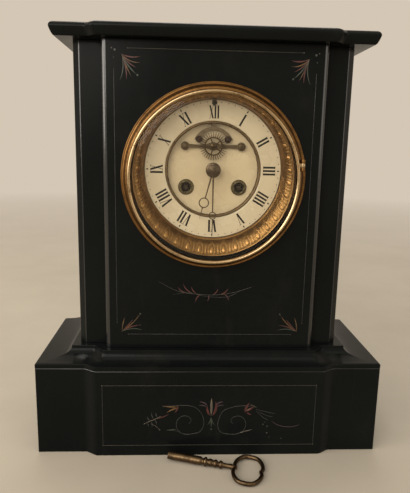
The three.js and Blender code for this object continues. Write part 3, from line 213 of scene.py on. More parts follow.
def enamel(name, tone, shade):
    look = Look(name)
    colour = look.mix(look.ramp(look.noise(14, 6, 0.6), 0.32, 0.7), srgb(*tone), srgb(*shade))
    speck = look.ramp(look.noise(900, 2, 0.5), 0.7, 0.8, 0, 0.3)
    look.bump(look.noise(90, 3, 0.5), 0.06, 0.4)
    return look.finish({"Base Color": look.mix(speck, colour, srgb(140, 118, 90)),
                        "Roughness": look.ramp(look.noise(45, 5, 0.6), 0.3, 0.7, 0.16, 0.34),
                        "Coat Weight": 0.35, "Coat Roughness": 0.08})


def paint(name):
    look = Look(name)
    wear = look.ramp(look.noise(380, 5, 0.7), 0.45, 0.8)
    look.bump(look.noise(800, 3, 0.6), 0.03, 0.4)
    return look.finish({"Base Color": look.mix(wear, srgb(20, 15, 11), srgb(50, 39, 29)),
                        "Roughness": look.ramp(look.noise(200, 3, 0.6), 0.3, 0.7, 0.4, 0.6),
                        "Specular IOR Level": 0.15})


def gilt(name, bright, worn, metallic=0.1):
    """Gold laid in cut lines, worn off here and there down to the slate."""
    look = Look(name)
    wear = look.ramp(look.noise(210, 6, 0.72), 0.42, 0.66)
    look.bump(look.noise(1500, 3, 0.6), 0.03, 0.5)
    return look.finish({"Base Color": look.mix(wear, srgb(*bright), srgb(*worn)), "Metallic": metallic,
                        "Roughness": look.ramp(wear, 0, 1, 0.42, 0.62)})


def glass(name):
    """Clear glass: what lies behind shows through, and the surface reflects more towards its edges."""
    look = Look(name)
    look.tree.nodes.remove(look.shader)
    clear = look.add("BsdfTransparent", {"Color": (0.965, 0.97, 0.955, 1)})
    smear = look.ramp(look.noise(30, 6, 0.7, (1, 1, 0.5), 0.5), 0.3, 0.75, 0.03, 0.16)
    gloss = look.add("BsdfGlossy", {"Color": (0.96, 0.94, 0.9, 1), "Roughness": smear})
    facing = look.add("LayerWeight", {"Blend": 0.5}).outputs["Facing"]
    share = look.ramp(look.math("POWER", facing, 4.0), 0, 1, 0.012, 0.6)
    look.blend("Material Output", share, clear, gloss)
    return look.material


SLATE = slate("black_slate", 0.08, 0.15, 0.3)
EDGE = slate("polished_edge", 0.7, 0.14, 0.22)
CORE = rubble("rubble_core")
BEZEL = metal("bezel_brass", (116, 84, 48), (64, 46, 28), (0.3, 0.5), 0.55, 55, 0.35, BEZEL_Z)
# The bezel's inner wall: tarnished brass, with painted shade making it near black towards its bottom, where
# the deep wall lies in shadow.
BEZEL_WALL = metal("tarnished_brass_painted_shade", (88, 64, 39), (52, 38, 25), (0.44, 0.62), 0.7, 70, 0.4, BEZEL_Z,
                   painted_shade=(212, 240))
DOOR = metal("polished_brass", (178, 153, 116), (100, 79, 54), (0.14, 0.3), 0.4, 60, 0.3, DOOR_Z)
SIGHT = metal("chased_brass", (158, 119, 72), (106, 78, 45), (0.26, 0.42), 0.45, 120, chased=True)
COLLAR = metal("dial_collar", (118, 96, 68), (78, 60, 42), (0.36, 0.52), 0.55, 90, 0.3, DIAL_Z)
BRASS = metal("movement_brass", (188, 150, 92), (128, 94, 52), (0.24, 0.4), 0.4, 60)
PLATE = metal("plate_brass", (190, 154, 98), (136, 102, 60), (0.26, 0.4), 0.4, 35, 0.5, DIAL_Z)
# Brass for the escape wheel, made much darker than the movement's brass; the darkness is painted shade for
# the shadow the wheel sits in.
WHEEL = metal("escape_brass_painted_shade", (82, 66, 46), (48, 38, 28), (0.28, 0.44), 0.5, 200)
BRIDGE = metal("bridge_brass", (100, 84, 64), (60, 49, 37), (0.36, 0.5), 0.5, 160)
STEEL = metal("old_steel", (150, 146, 138), (92, 86, 78), (0.26, 0.44), 0.5, 180)
ANCHOR = metal("anchor_steel", (118, 102, 82), (70, 58, 46), (0.36, 0.5), 0.5, 150)
HANDS = metal("hand_steel", (98, 82, 66), (52, 44, 38), (0.3, 0.46), 0.5, 160)
BELL = metal("bell_metal", (176, 148, 104), (110, 86, 56), (0.24, 0.38), 0.5, 45, 0.6, 244.4)
KEY = metal("key_bronze", (98, 80, 58), (36, 28, 21), (0.26, 0.48), 0.85, 130)
COLLET = metal("collet_brass", (100, 88, 64), (52, 44, 34), (0.34, 0.5), 0.55, 150)
# Steel for the winding and regulating arbors: dark steel, darkened further as painted shade for their place
# deep in the holes.
SQUARE = metal("arbor_steel_painted_shade", (74, 66, 56), (34, 29, 25), (0.3, 0.46), 0.6, 200)
REAR = metal("rear_brass", (128, 98, 60), (92, 69, 42), (0.32, 0.46), 0.35, 26, 0.6, BORE_Z)
RUBY = metal("pallet_stone", (74, 38, 30), (38, 22, 19), (0.16, 0.26), 0.5, 200, metallic=0.0)
DARK = metal("dark_steel", (62, 48, 38), (34, 27, 23), (0.34, 0.5), 0.5, 200)
BORE = metal("dark_hole", (40, 34, 28), (22, 19, 17), (0.6, 0.8), 0.6, 120)
ENAMEL = enamel("dial_enamel", (204, 187, 158), (192, 172, 141))
RECESS = enamel("recess_enamel", (208, 188, 154), (192, 168, 132))
PAINT = paint("dial_black")
GLASS = glass("door_glass")
GILT = {
    "gilt_lines": gilt("gilt_lines", (60, 56, 43), (30, 29, 25), 0.2),
    "worn_lines": gilt("worn_lines", (50, 51, 46), (24, 25, 24)),
    "amber_leaves": gilt("amber_gilt", (92, 66, 33), (50, 36, 22), 0.2),
    "pale_leaves": gilt("pale_gilt", (94, 84, 70), (50, 45, 38)),
    "red_leaves": gilt("red_gilt", (72, 29, 22), (38, 19, 17)),
    "purple_leaves": gilt("purple_gilt", (62, 42, 50), (34, 26, 30)),
    "green_leaves": gilt("green_gilt", (50, 58, 44), (28, 32, 28)),
}


# Shapes: each is a list of points and a list of faces
def skin(rows, count, ring=True, wrap=True):
    """Faces between rows of points. Ring joins the last row to the first, wrap the two ends of a row."""
    faces = []
    for i in range(rows if ring else rows - 1):
        here, there = i * count, (i + 1) % rows * count
        for j in range(count if wrap else count - 1):
            k = (j + 1) % count
            faces.append((here + j, here + k, there + k, there + j))
    return faces


def merged(parts):
    verts, faces = [], []
    for part_verts, part_faces in parts:
        start = len(verts)
        verts += part_verts
        faces += [tuple(i + start for i in face) for face in part_faces]
    return verts, faces


def moved(part, x=0.0, y=0.0, z=0.0, turn=0.0):
    """A part turned clockwise about Y as seen from the dial side, then moved."""
    c, s = math.cos(turn), math.sin(turn)
    return [(vx * c + vz * s + x, vy + y, vz * c - vx * s + z) for vx, vy, vz in part[0]], part[1]


def upright(part):
    """A part turned about Y, stood up on its end."""
    return [(x, z, y) for x, y, z in part[0]], part[1]


def lathe(profile, segments):
    """A profile of (radius, y) turned about Y. One that starts on the axis ends there too."""
    verts = []
    for i in range(segments):
        angle = 2 * math.pi * i / segments
        verts += [(r * math.cos(angle), y, r * math.sin(angle)) for r, y in profile]
    return verts, skin(segments, len(profile), wrap=profile[0][0] > 0)


def rounded(profile, radius, steps=3):
    """The profile with each corner cut by a small arc, but not an end that lies on the axis."""
    made = []
    last = len(profile) - 1
    for i, here in enumerate(profile):
        if profile[0][0] == 0 and i in (0, last):
            made.append(here)
            continue
        p, q, r = Vector(profile[i - 1]), Vector(here), Vector(profile[(i + 1) % (last + 1)])
        reach = min(radius, (p - q).length * 0.45, (r - q).length * 0.45)
        a, b = q + (p - q).normalized() * reach, q + (r - q).normalized() * reach
        for k in range(steps + 1):
            t = k / steps
            made.append(tuple(a * (1 - t) ** 2 + q * 2 * t * (1 - t) + b * t * t))
    return made


def linked(name, data):
    obj = bpy.data.objects.new(name, data)
    bpy.context.collection.objects.link(obj)
    return obj


def evaluated(obj):
    """A new mesh of the object as its modifiers or its curve make it."""
    bpy.context.view_layer.update()
    return bpy.data.meshes.new_from_object(obj.evaluated_get(bpy.context.evaluated_depsgraph_get()))


def plate(loops, y0, y1, bevel, steps=1):
    """Closed outlines in (x, z), holes included, as a flat plate from y0 back to y1."""
    curve = bpy.data.curves.new("outline", "CURVE")
    curve.dimensions = "2D"
    curve.fill_mode = "BOTH"
    curve.extrude = (y1 - y0) / 2 - bevel
    curve.bevel_depth = bevel
    curve.bevel_resolution = steps
    curve.offset = -bevel
    for loop in loops:
        spline = curve.splines.new("POLY")
        spline.points.add(len(loop) - 1)
        for point, (x, z) in zip(spline.points, loop):
            point.co = (x, z, 0, 1)
        spline.use_cyclic_u = True
    holder = linked("outline", curve)
    me = evaluated(holder)
    middle = (y0 + y1) / 2
    verts = [(v.co.x, middle - v.co.z, v.co.y) for v in me.vertices]
    faces = [tuple(p.vertices) for p in me.polygons]
    bpy.data.objects.remove(holder)
    bpy.data.curves.remove(curve)
    bpy.data.meshes.remove(me)
    return verts, faces


def arc(radius, start, end, steps):
    turns = [start + (end - start) * k / steps for k in range(steps + 1)]
    return [(radius * math.cos(a), radius * math.sin(a)) for a in turns]


def circle(radius, count, x=0.0, z=0.0):
    step = 2 * math.pi / count
    return [(x + radius * math.cos(i * step), z + radius * math.sin(i * step)) for i in range(count)]


def smooth(points, per=8):
    """A Catmull-Rom line through points of any dimension."""
    pts = [Vector(p) for p in points]
    pts = [pts[0] * 2 - pts[1], *pts, pts[-1] * 2 - pts[-2]]
    made = []
    for a, b, c, d in zip(pts, pts[1:], pts[2:], pts[3:]):
        for k in range(per):
            t = k / per
            made.append(0.5 * (2 * b + (c - a) * t + (2 * a - 5 * b + 4 * c - d) * t * t
                               + (3 * b - a - 3 * c + d) * t ** 3))
    return [tuple(p) for p in [*made, pts[-2]]]


def ribbon(points, widths, y, crown=0.07, sunk=0.01):
    """A thin inlaid line on a face that looks forward, raised a hair in its middle."""
    verts = []
    pts = [Vector(p) for p in points]
    for i, p in enumerate(pts):
        along = (pts[min(i + 1, len(pts) - 1)] - pts[max(i - 1, 0)]).normalized()
        side = Vector((-along.y, along.x)) * (widths[i] / 2)
        verts += [(p.x + side.x, y + sunk, p.y + side.y), (p.x, y - crown, p.y),
                  (p.x - side.x, y + sunk, p.y - side.y)]
    return verts, skin(len(pts), 3, False, False)


def line(points, width, y):
    """A straight line of even width between two points, or a curve that thins towards both ends."""
    if len(points) == 2:
        return ribbon(points, [width, width], y)
    run = smooth(points)
    last = len(run) - 1
    widths = [width * (0.35 + 0.65 * math.sin(math.pi * i / last) ** 0.6) for i in range(last + 1)]
    return ribbon(run, widths, y)


def leaf(root, tip, width, y, bend=0.0, fullest=0.42, count=12):
    """A pointed leaf from root to tip, bowed sideways by a share of its length."""
    a, b = Vector(root), Vector(tip)
    control = (a + b) / 2 + Vector((-(b - a).y, (b - a).x)) * bend * 2
    run, widths = [], []
    for i in range(count + 1):
        t = i / count
        run.append(tuple(a * (1 - t) ** 2 + control * 2 * t * (1 - t) + b * t * t))
        swell = t / fullest if t < fullest else (1 - t) / (1 - fullest)
        widths.append(max(0.12, width * math.sin(swell * math.pi / 2) ** 0.9))
    return ribbon(run, widths, y)


def dot(x, z, radius, y, count=12):
    verts = [(x, y - 0.09, z)] + [(px, y + 0.01, pz) for px, pz in circle(radius, count, x, z)]
    return verts, [(0, i + 1, (i + 1) % count + 1) for i in range(count)]


def sweep(points, sizes, sides):
    """A round bar along points that lie flat, with its radius at each of them."""
    pts = [Vector(p) for p in points]
    last = len(pts) - 1
    up = Vector((0, 0, 1))
    verts = []
    for i, p in enumerate(pts):
        across = (pts[min(i + 1, last)] - pts[max(i - 1, 0)]).normalized().cross(up).normalized()
        verts += [tuple(p + across * x + up * z) for x, z in circle(sizes[i], sides)]
    ends = [tuple(range(sides - 1, -1, -1)), tuple(last * sides + k for k in range(sides))]
    return verts, skin(len(pts), sides, False) + ends


def box(x0, x1, y0, y1, z0, z1):
    verts = [(x, y, z) for x in (x0, x1) for y in (y0, y1) for z in (z0, z1)]
    return verts, [(0, 1, 3, 2), (4, 6, 7, 5), (0, 4, 5, 1), (2, 3, 7, 6), (0, 2, 6, 4), (1, 5, 7, 3)]


def loft(levels):
    """Outlines of equal count, one above the other, as a closed solid."""
    count, last = len(levels[0]), len(levels) - 1
    ends = [tuple(range(count - 1, -1, -1)), tuple(last * count + i for i in range(count))]
    return [p for level in levels for p in level], ends + skin(len(levels), count, False)


# Pieces of the scene
def raw_mesh(name, part):
    me = bpy.data.meshes.new(name)
    me.from_pydata([(x * MM, (y - FRONT) * MM, z * MM) for x, y, z in part[0]], [], part[1])
    return me


def weld(me, join=1e-7):
    """Joins doubled points, drops slivers and turns the faces outwards."""
    bm = bmesh.new()
    bm.from_mesh(me)
    bmesh.ops.remove_doubles(bm, verts=bm.verts, dist=join)
    bmesh.ops.dissolve_degenerate(bm, edges=bm.edges, dist=join)
    bmesh.ops.recalc_face_normals(bm, faces=bm.faces)
    bm.to_mesh(me)
    bm.free()


def cut(me, cutter):
    """The mesh with the cutter's shape taken out of it."""
    tool = linked("cutter", raw_mesh("cutter", cutter))
    weld(tool.data)
    work = linked("work", me)
    mod = work.modifiers.new("cut", "BOOLEAN")
    mod.object = tool
    mod.operation = "DIFFERENCE"
    mod.solver = "EXACT"
    made = evaluated(work)
    for obj in (work, tool):
        used = obj.data
        bpy.data.objects.remove(obj)
        bpy.data.meshes.remove(used)
    return made


def placed(name, me, mat, over, angle, bevel, body="case"):
    """Shades the mesh, softens its edges and sets it on the body of the node that it takes the place of."""
    me.name = name
    me.polygons.foreach_set("use_smooth", [True] * len(me.polygons))
    me.set_sharp_from_angle(angle=math.radians(angle))
    me.update()
    me.materials.clear()
    me.materials.append(mat)
    if mat is SLATE:
        me.materials.append(EDGE)
    obj = linked(name, me)
    if bevel:
        mod = obj.modifiers.new("edges", "BEVEL")
        mod.material = 1 if mat is SLATE else -1
        mod.width = bevel * MM
        mod.segments = 2
        mod.limit_method = "ANGLE"
        mod.angle_limit = math.radians(34)
    mod = obj.modifiers.new("normals", "WEIGHTED_NORMAL")
    mod.keep_sharp = True
    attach(obj, body_of.get(over, body))
    if over:
        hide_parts(over)
    return obj


def piece(name, part, mat, over=None, angle=34, bevel=0.0, body="case", lift=None, flat=False, cuts=()):
    """A shape as a piece. Lift is the relief at each point, and flat leaves patches unwelded."""
    me = raw_mesh(name, part)
    if lift:
        me.attributes.new("lift", "FLOAT", "POINT").data.foreach_set("value", lift)
    if not flat:
        weld(me)
    for cutter in cuts:
        me = cut(me, cutter)
    return placed(name, me, mat, over, angle, bevel, body)


def dressed(name, mat, bevel, angle=34):
    """The CAD node's own form, cleaned to whole faces, with softened edges and a finish."""
    bm = bmesh.new()
    bm.from_mesh(nodes[name].data)
    bmesh.ops.remove_doubles(bm, verts=bm.verts, dist=2e-7)
    bmesh.ops.dissolve_limit(bm, angle_limit=math.radians(0.4), verts=bm.verts, edges=bm.edges)
    me = bpy.data.meshes.new(name)
    bm.to_mesh(me)
    bm.free()
    return placed(name + "_finished", me, mat, name, angle, bevel)


# The case
def breakfront(z, half, end_y, centre_y, centre_half, shoulder, back_y, steps=20):
    """One level of a slab whose middle stands forward, joined to its ends by two soft shoulders."""
    left = []
    for i in range(steps + 1):
        t = i / steps
        ease = t * t * (3 - 2 * t)
        left.append((-(centre_half + shoulder * (1 - t)), end_y + (centre_y - end_y) * ease, z))
    right = [(-x, y, z) for x, y, _ in reversed(left)]
    return [(-half, back_y, z), (-half, end_y, z), *left, *right, (half, end_y, z), (half, back_y, z)]


def plinth():
    levels = [breakfront(z, PLINTH_HALF, 0, PLINTH_FACE, MIDDLE_HALF, SHOULDER, 18) for z in (0, PLINTH_TOP)]
    piece("plinth_front_face", loft(levels), SLATE, "plinth_front_slab", bevel=0.35)
    for name in ("plinth_side_slab_left", "plinth_side_slab_right", "plinth_back_slab"):
        dressed(name, SLATE, 0.6)
    dressed("plinth_core", CORE, 0.4)


def plinth_cap():
    """A low upright edge, a small step and a cove that draws in to the body."""
    reach, step, steps = 29, 1.6 / 29, 24

    def level(height, inward):
        return breakfront(PLINTH_TOP + height, PLINTH_HALF - reach * inward, 18.5 * inward,
                          PLINTH_FACE + 13 * inward, MIDDLE_HALF - 6 * inward, SHOULDER, CASE_BACK)
    levels = [level(*at) for at in ((0, 0.01), (0.4, 0), (3.7, 0), (4.1, 0.01), (4.2, step))]
    for i in range(steps + 1):
        angle = i / steps * math.pi / 2
        levels.append(level(4.4 + 8.5 * (1 - math.cos(angle)), step + (1 - step) * math.sin(angle)))
    levels += [level(14.1, 1), level(14.5, 1.012)]
    piece("plinth_cap_moulding", loft(levels), SLATE, "plinth_cap", 40)


def body_slabs():
    radius, steps, bottom, back = 5.0, 16, 95.8, 35.8
    plan = [(-BODY_HALF, back)]
    for centre, start in ((radius - BODY_HALF, math.pi), (BODY_HALF - radius, 1.5 * math.pi)):
        for i in range(steps + 1):
            angle = start + i / steps * math.pi / 2
            plan.append((centre + radius * math.cos(angle), BODY_FACE + radius + radius * math.sin(angle)))
    plan.append((BODY_HALF, back))
    bore = moved(lathe([(0, 0), (69, 0), (69, 60), (0, 60)], 160), z=BORE_Z)
    panel = piece("front_panel_face", loft([[(x, y, z) for x, y in plan] for z in (bottom, BODY_TOP)]), SLATE,
                  "front_panel", bevel=0.4, cuts=[bore])
    for face in panel.data.polygons:
        on_edge = abs(face.center.x) > (BODY_HALF - radius - 0.1) * MM
        if on_edge and abs(face.normal.z) < 0.2 and 0.1 < abs(face.normal.x) < 0.99:
            face.material_index = 1
    for name in ("side_slab_left", "side_slab_right", "back_panel"):
        dressed(name, SLATE, 0.5)


def top_slab():
    """Drawn in below, with its edge rounded as it rises."""
    edge = smooth([(0, 3.2), (0.9, 2.3), (3.4, 1.1), (6.6, 0.02), (8.4, 0.35), (9.7, 1.3), (10.5, 2.6),
                   (10.7, 3.6)], 5)
    levels = []
    for height, inward in [(0, 5.0), *edge, (10.7, 6.0)]:
        inset = max(inward, 0)
        levels.append(breakfront(BODY_TOP + height, 134.5 - inset, 7.8 + inset, 1.4 + inset,
                                 98.9 - inward, 8.9,
                                 CASE_BACK - inset))
    piece("top_slab_face", loft(levels), SLATE, "top_slab", 50)


# Gilt work cut in the slate. Each row starts with the tone that it is laid in
def add_lines(y, *rows):
    for tone, width, *points in rows:
        tone.append(line(points, width, y))


def add_leaves(y, *rows):
    for tone, width, root, tip, *form in rows:
        tone.append(leaf(root, tip, width, y, *form))


def add_dots(y, *rows):
    for tone, radius, x, z in rows:
        tone.append(dot(x, z, radius, y))


def plinth_scrolls(gold, faint, amber, pale, red, purple, green):
    """A thin frame, and inside it a pair of scrolls."""
    y = PLINTH_FACE
    low, high, half = 10.0, 68.0, 95.5
    for z in (low, high):
        add_lines(y, (gold, 0.42, (0.9 - half, z), (half - 0.9, z)))
    for x in (-half, half):
        add_lines(y, (faint, 0.36, (x, low + 1), (x, high - 1)))
        add_dots(y, (gold, 0.75, x, low), (gold, 0.75, x, high))
    add_lines(y, (faint, 0.5, (-41.6, 47.8), (-28.9, 49.0), (-20.9, 49.0), (-14.5, 47.7), (-9.6, 44.2),
                  (-6.3, 38.9), (-5.0, 32.8), (-6.1, 26.6), (-10.0, 22.2), (-17.3, 20.9), (-23.8, 21.4),
                  (-29.4, 24.1), (-34.3, 25.0)),
              (faint, 0.5, (-11.2, 22.4), (-20.0, 20.4), (-26.6, 23.0), (-29.6, 28.4), (-28.8, 34.6),
               (-24.2, 38.6), (-18.9, 38.0), (-16.4, 34.2), (-18.4, 31.2)),
              (faint, 0.5, (41.0, 46.6), (29.7, 48.4), (19.2, 46.7), (12.1, 43.2), (9.0, 37.1), (7.6, 30.0),
               (9.4, 23.8), (14.3, 21.1), (22.5, 20.6), (30.5, 22.8), (37.8, 24.1)),
              (faint, 0.5, (13.8, 21.6), (22.8, 20.2), (29.4, 22.8), (32.9, 28.2), (32.2, 34.2), (27.6, 38.2),
               (21.8, 37.4), (19.4, 33.6), (21.6, 30.8)))
    add_lines(y - 0.02, (gold, 0.45, (-28.9, 49.0), (-20.9, 49.0), (-14.5, 47.7)),
              (gold, 0.45, (19.2, 46.7), (25.0, 48.2), (32.5, 48.6)),
              (pale, 0.6, (28.6, 21.8), (33.2, 23.6), (38.8, 25.1)))


def plinth_palmette(gold, faint, amber, pale, red, purple, green):
    y, x = PLINTH_FACE, 1.5
    add_leaves(y - 0.04, (pale, 2.1, (1.6, 39.0), (x, 56.4), 0, 0.45))
    add_leaves(y, (red, 2.2, (0.6, 38.8), (-2.2, 48.6), 0.1), (red, 2.6, (2.4, 38.8), (5.2, 52.8), -0.12))
    for s in (-1, 1):
        add_leaves(y, (purple, 1.5, (x + s * 3.6, 48.4), (x + s * 10.8, 52.4), s * 0.14),
                   (purple, 1.2, (x + s * 4.2, 47.4), (x + s * 11.4, 48.9), s * 0.1),
                   (green, 0.8, (x + s * 0.4, 37.0), (x + s * 3.6, 29.4), s * -0.1))
    add_leaves(y, (green, 1.2, (1.6, 37.0), (1.7, 27.4)))
    add_dots(y, (green, 0.85, 1.8, 25.6))


def plinth_flowers(gold, faint, amber, pale, red, purple, green):
    """A flower and trailing strands at the end of each scroll."""
    y = PLINTH_FACE
    add_leaves(y, (amber, 1.5, (-29.0, 47.6), (-42.8, 48.7), 0.03, 0.3),
               (amber, 1.7, (-29.2, 46.4), (-38.6, 41.8), -0.06, 0.3),
               (red, 1.5, (-28.4, 49.4), (-31.6, 41.6), 0.1),
               (red, 1.1, (-36.6, 40.6), (-46.9, 36.3), 0.05),
               (green, 1.2, (-30.0, 25.9), (-38.4, 25.1), 0.05),
               (red, 2.6, (32.0, 41.8), (35.8, 51.4), 0.08),
               (red, 2.4, (32.4, 43.2), (39.6, 47.6), -0.05),
               (red, 1.8, (33.6, 42.2), (38.0, 39.8), -0.1),
               (gold, 1.0, (35.6, 49.5), (42.8, 46.4), 0.06))
    add_leaves(y - 0.05, (pale, 0.8, (33.4, 43.6), (37.0, 46.2)))
    for x, z, dx, dz in ((-46.8, 37.8, -1.2, 4.6), (-50.0, 36.0, -1.8, 6.6), (-53.2, 34.2, -2.6, 4.4),
                         (-49.0, 34.8, 1.4, -4.6), (-52.4, 33.2, 0.8, -5.0), (-55.6, 31.8, 0.6, -3.6)):
        add_leaves(y, (faint, 0.8, (x, z), (x + dx, z + dz), 0.12))
    add_lines(y, (pale, 0.7, (-43.8, 38.4), (-49.8, 35.3), (-54.4, 33.4), (-59.3, 30.9)),
              (pale, 0.4, (-52.9, 31.2), (-48.6, 29.2), (-44.6, 25.4)),
              (faint, 0.45, (41.6, 45.0), (47.8, 43.4), (53.2, 42.0), (59.3, 40.6)),
              (faint, 0.45, (41.8, 43.4), (48.0, 40.6), (52.6, 38.6), (57.2, 37.4)),
              (faint, 0.4, (43.0, 42.0), (48.6, 37.0), (53.8, 34.0)),
              (purple, 0.7, (56.4, 33.4), (61.6, 29.8), (68.4, 27.8), (76.0, 27.7), (82.0, 29.6)))
    add_dots(y, (pale, 0.6, -44.7, 25.1), (green, 0.7, 48.7, 30.1), (green, 0.7, 52.6, 28.3),
             (green, 0.4, 50.4, 32.4), (pale, 0.65, 52.6, 21.6), (pale, 0.4, 54.9, 17.4),
             (pale, 0.5, 65.8, 16.1))


def panel_corners(gold, faint, amber, pale, red, purple, green):
    """A thin frame round the front slab, with a fan of leaves in each corner."""
    y = BODY_FACE
    side, high, low = 84.0, 354.0, 108.5
    add_lines(y, (gold, 0.45, (-72.5, high), (72.5, high)), (faint, 0.34, (-74.0, low), (74.0, low)))
    upper = ((red, 1.3, 62.3, 347.8, 0.1), (amber, 1.0, 62.3, 342.9, 0.13), (red, 1.1, 65.0, 338.6, 0.08),
             (green, 1.3, 65.2, 333.4, 0.06), (amber, 0.9, 69.6, 331.6, 0.02), (red, 1.2, 73.6, 329.5, -0.06),
             (green, 0.9, 79.3, 328.5, -0.1))
    lower = ((amber, 1.0, 63.6, 127.2, 0.05), (red, 1.1, 69.6, 122.4, 0.01), (amber, 1.0, 76.8, 124.8, -0.05),
             (red, 1.1, 62.6, 117.2, -0.07), (green, 0.9, 61.2, 112.4, -0.1))
    for s in (-1, 1):
        add_lines(y, (faint, 0.34, (s * side, 121.0), (s * side, 338.0)))
        add_dots(y, (gold, 0.5, s * side, 346.5), (gold, 0.6, s * side, 119.6), (gold, 0.7, s * 72.5, high),
                 (gold, 0.6, s * 73.95, low), (green, 1.1, s * 83.0, 352.4), (green, 0.9, s * 64.6, 333.0),
                 (pale, 0.55, s * 85.5, 353.8), (green, 0.8, s * 63.2, 127.8))
        for root, fan in (((s * 77.5, 349.3), upper), ((s * 79.6, 111.2), lower)):
            for tone, width, x, z, bend in fan:
                add_leaves(y, (tone, width, root, (s * x, z), s * bend, 0.5))


def panel_spray(gold, faint, amber, pale, red, purple, green):
    """A long stem with small leaves below the dial."""
    y = BODY_FACE
    add_lines(y, (gold, 0.5, (-47.1, 157.9), (-30.2, 149.3), (-13.3, 146.5), (3.7, 145.8), (20.6, 148.2),
                  (37.5, 153.6)),
              (faint, 0.36, (-34.0, 146.0), (-20.0, 147.6), (-4.0, 144.4), (14.0, 144.0), (27.0, 149.8)))
    for start, end, bend in (((-16.0, 147.0), (-25.2, 156.2), 0.12), ((-13.0, 146.8), (-17.8, 153.6), 0.1),
                             ((-9.0, 146.4), (-14.0, 138.6), -0.12), ((-2.0, 146.0), (-3.0, 139.8), 0.1),
                             ((2.0, 146.0), (6.4, 151.6), -0.1), ((8.0, 146.2), (15.2, 151.4), -0.12),
                             ((-22.0, 147.6), (-29.8, 153.2), 0.12), ((12.0, 146.6), (16.4, 140.4), 0.1)):
        add_leaves(y, (red, 1.15, start, end, bend))


def gilding():
    tones = {name: [] for name in GILT}
    for part in (plinth_scrolls, plinth_palmette, plinth_flowers, panel_corners, panel_spray):
        part(*tones.values())
    for name, parts in tones.items():
        piece(name, merged(parts), GILT[name], flat=True)


# Bezel, sight ring and door
def hinge(at, web_to, moving=False):
    """Barrels of a small butt hinge. The web reaches along y for the fixed leaf and along x for the other."""
    half, gap, radius, pin, thick = 1.6, 0.3, 1.7, 0.75, 0.8
    end = half + gap + 2.88

    def barrel(z0, z1, r=radius):
        side = [(r - 0.2, z0), (r, z0 + 0.2), (r, z1 - 0.2), (r - 0.2, z1)]
        return upright(lathe([(0, z0), *side, (0, z1)], 24))

    low, high = min(0, web_to), max(0, web_to)
    if moving:
        parts = [barrel(-half, half), box(low, high, -thick, thick, 0.05 - half, half - 0.05)]
    else:
        parts = [barrel(-end, -half - gap), barrel(half + gap, end), barrel(-end - 0.4, end + 0.4, pin),
                 box(-thick, thick, low, high, 0.05 - end, -half - gap - 0.05),
                 box(-thick, thick, low, high, half + gap + 0.05, end - 0.05)]
    return moved(merged(parts), *at)


def bezel():
    """The fixed ring, with a band of fine milling, and its tarnished inner wall, darkened towards the bottom
    by painted shade.
    """
    inner, outer, front, depth, notches = 74.2, 77.0, 11, 0.22, 120
    verts, faces = lathe(rounded([(79.4, 13.8), (79.4, 12.4), (78.7, 11.5), (77.7, 11.9), (76.7, 11.2),
                                  (76.1, 9.2), (75.1, 7.6), (73.9, 6.75), (72.6, 6.6), (71.6, 6.8),
                                  (71.6, 12.6), (67.5, 12.6), (67.5, 13.8)], 0.5), 480)
    milled = []
    for x, y, z in verts:
        r = math.hypot(x, z)
        if inner < r < outer and y < front:
            wave = 0.5 + 0.5 * math.cos(math.atan2(z, x) * notches)
            dip = depth * wave * math.sin((r - inner) / (outer - inner) * math.pi)
            x, z, y = x * (1 - dip / r), z * (1 - dip / r), y + dip * 0.8
        milled.append((x, y, z))
    part = merged([moved((milled, faces), z=BEZEL_Z), hinge(DOOR_HINGE, 7.2)])
    ring = piece("bezel_ring_chased", part, BEZEL, "bezel_ring", 50)
    # The inner wall faces take the tarnished brass with its painted shade at the bottom.
    ring.data.materials.append(BEZEL_WALL)
    for face in ring.data.polygons:
        r = math.hypot(face.center.x, face.center.z - BEZEL_Z * MM)
        if r < 71.7 * MM and face.center.y > (7.0 - FRONT) * MM:
            face.material_index = 1


def relief(u, v):
    """Height of the egg and dart at u across one egg and v down the section, both as shares."""
    near = math.hypot(u / 0.15, (v - 0.43) / 0.24)
    egg = 0.46 * math.sqrt(max(0.0, 1 - near * near))
    shell = 0.14 * math.exp(-((near - 1.75) / 0.26) ** 2) * (1 if 0.06 < v < 0.9 else 0)
    dart = 0.2 * math.exp(-((abs(u) - 0.5) / 0.05) ** 2) * max(0.0, math.sin((v - 0.08) / 0.8 * math.pi))
    beads = 0.4 * math.exp(-((v - 0.975) / 0.025) ** 2) + 0.3 * math.exp(-((v - 0.03) / 0.025) ** 2)
    return egg + shell + dart + beads


def sight_ring():
    """The section sweeps from the flat rim down to the dial. Its points are a radius, the share by which
    they have moved up to the dial's centre, and y; those of the edges also have their lift."""
    eggs, per, across, full = 38, 24, 36, 0.34
    rise = DIAL_Z - SIGHT_Z
    run = smooth([(68.7, 0.0, 11.5), (66.9, 0.02, 11.9), (64.9, 0.15, 13.2), (62.4, 0.52, 16.4),
                  (60.1, 1.0, 21.8)], across // 4)
    outer = [(69.4, 0, 12.3, 0.2), (69.4, 0, 11.5, 0.6), (69.15, 0, 11.2, 0.9)]
    inner = [(59.95, 1, 22.2, 0.8), (60.3, 1, 22.7, 0.4), (61.6, 0.93, 22.7, 0.2), (64.2, 0.5, 17.6, 0.2),
             (66.1, 0, 13.9, 0.2), (66.1, 0, 12.3, 0.2)]
    verts, lift = [], []
    last = len(run) - 1
    for i in range(eggs * per):
        angle = 2 * math.pi * i / (eggs * per)
        c, s = math.cos(angle), math.sin(angle)
        column = list(outer)
        for j, (r, share, y) in enumerate(run):
            a, b = run[max(j - 1, 0)], run[min(j + 1, last)]
            dr, dy = (b[0] + b[1] * rise * s) - (a[0] + a[1] * rise * s), b[2] - a[2]
            size = math.hypot(dr, dy) or 1
            h = relief((i % per) / per - 0.5, j / last)
            column.append((r - dy / size * h, share, y + dr / size * h, min(1.0, h / full)))
        column += inner
        verts += [(r * c, y, r * s + share * rise) for r, share, y, _ in column]
        lift += [point[3] for point in column]
    part = verts, skin(eggs * per, len(column))
    piece("sight_ring_chased", moved(part, z=SIGHT_Z), SIGHT, "sight_ring", 60, lift=lift)


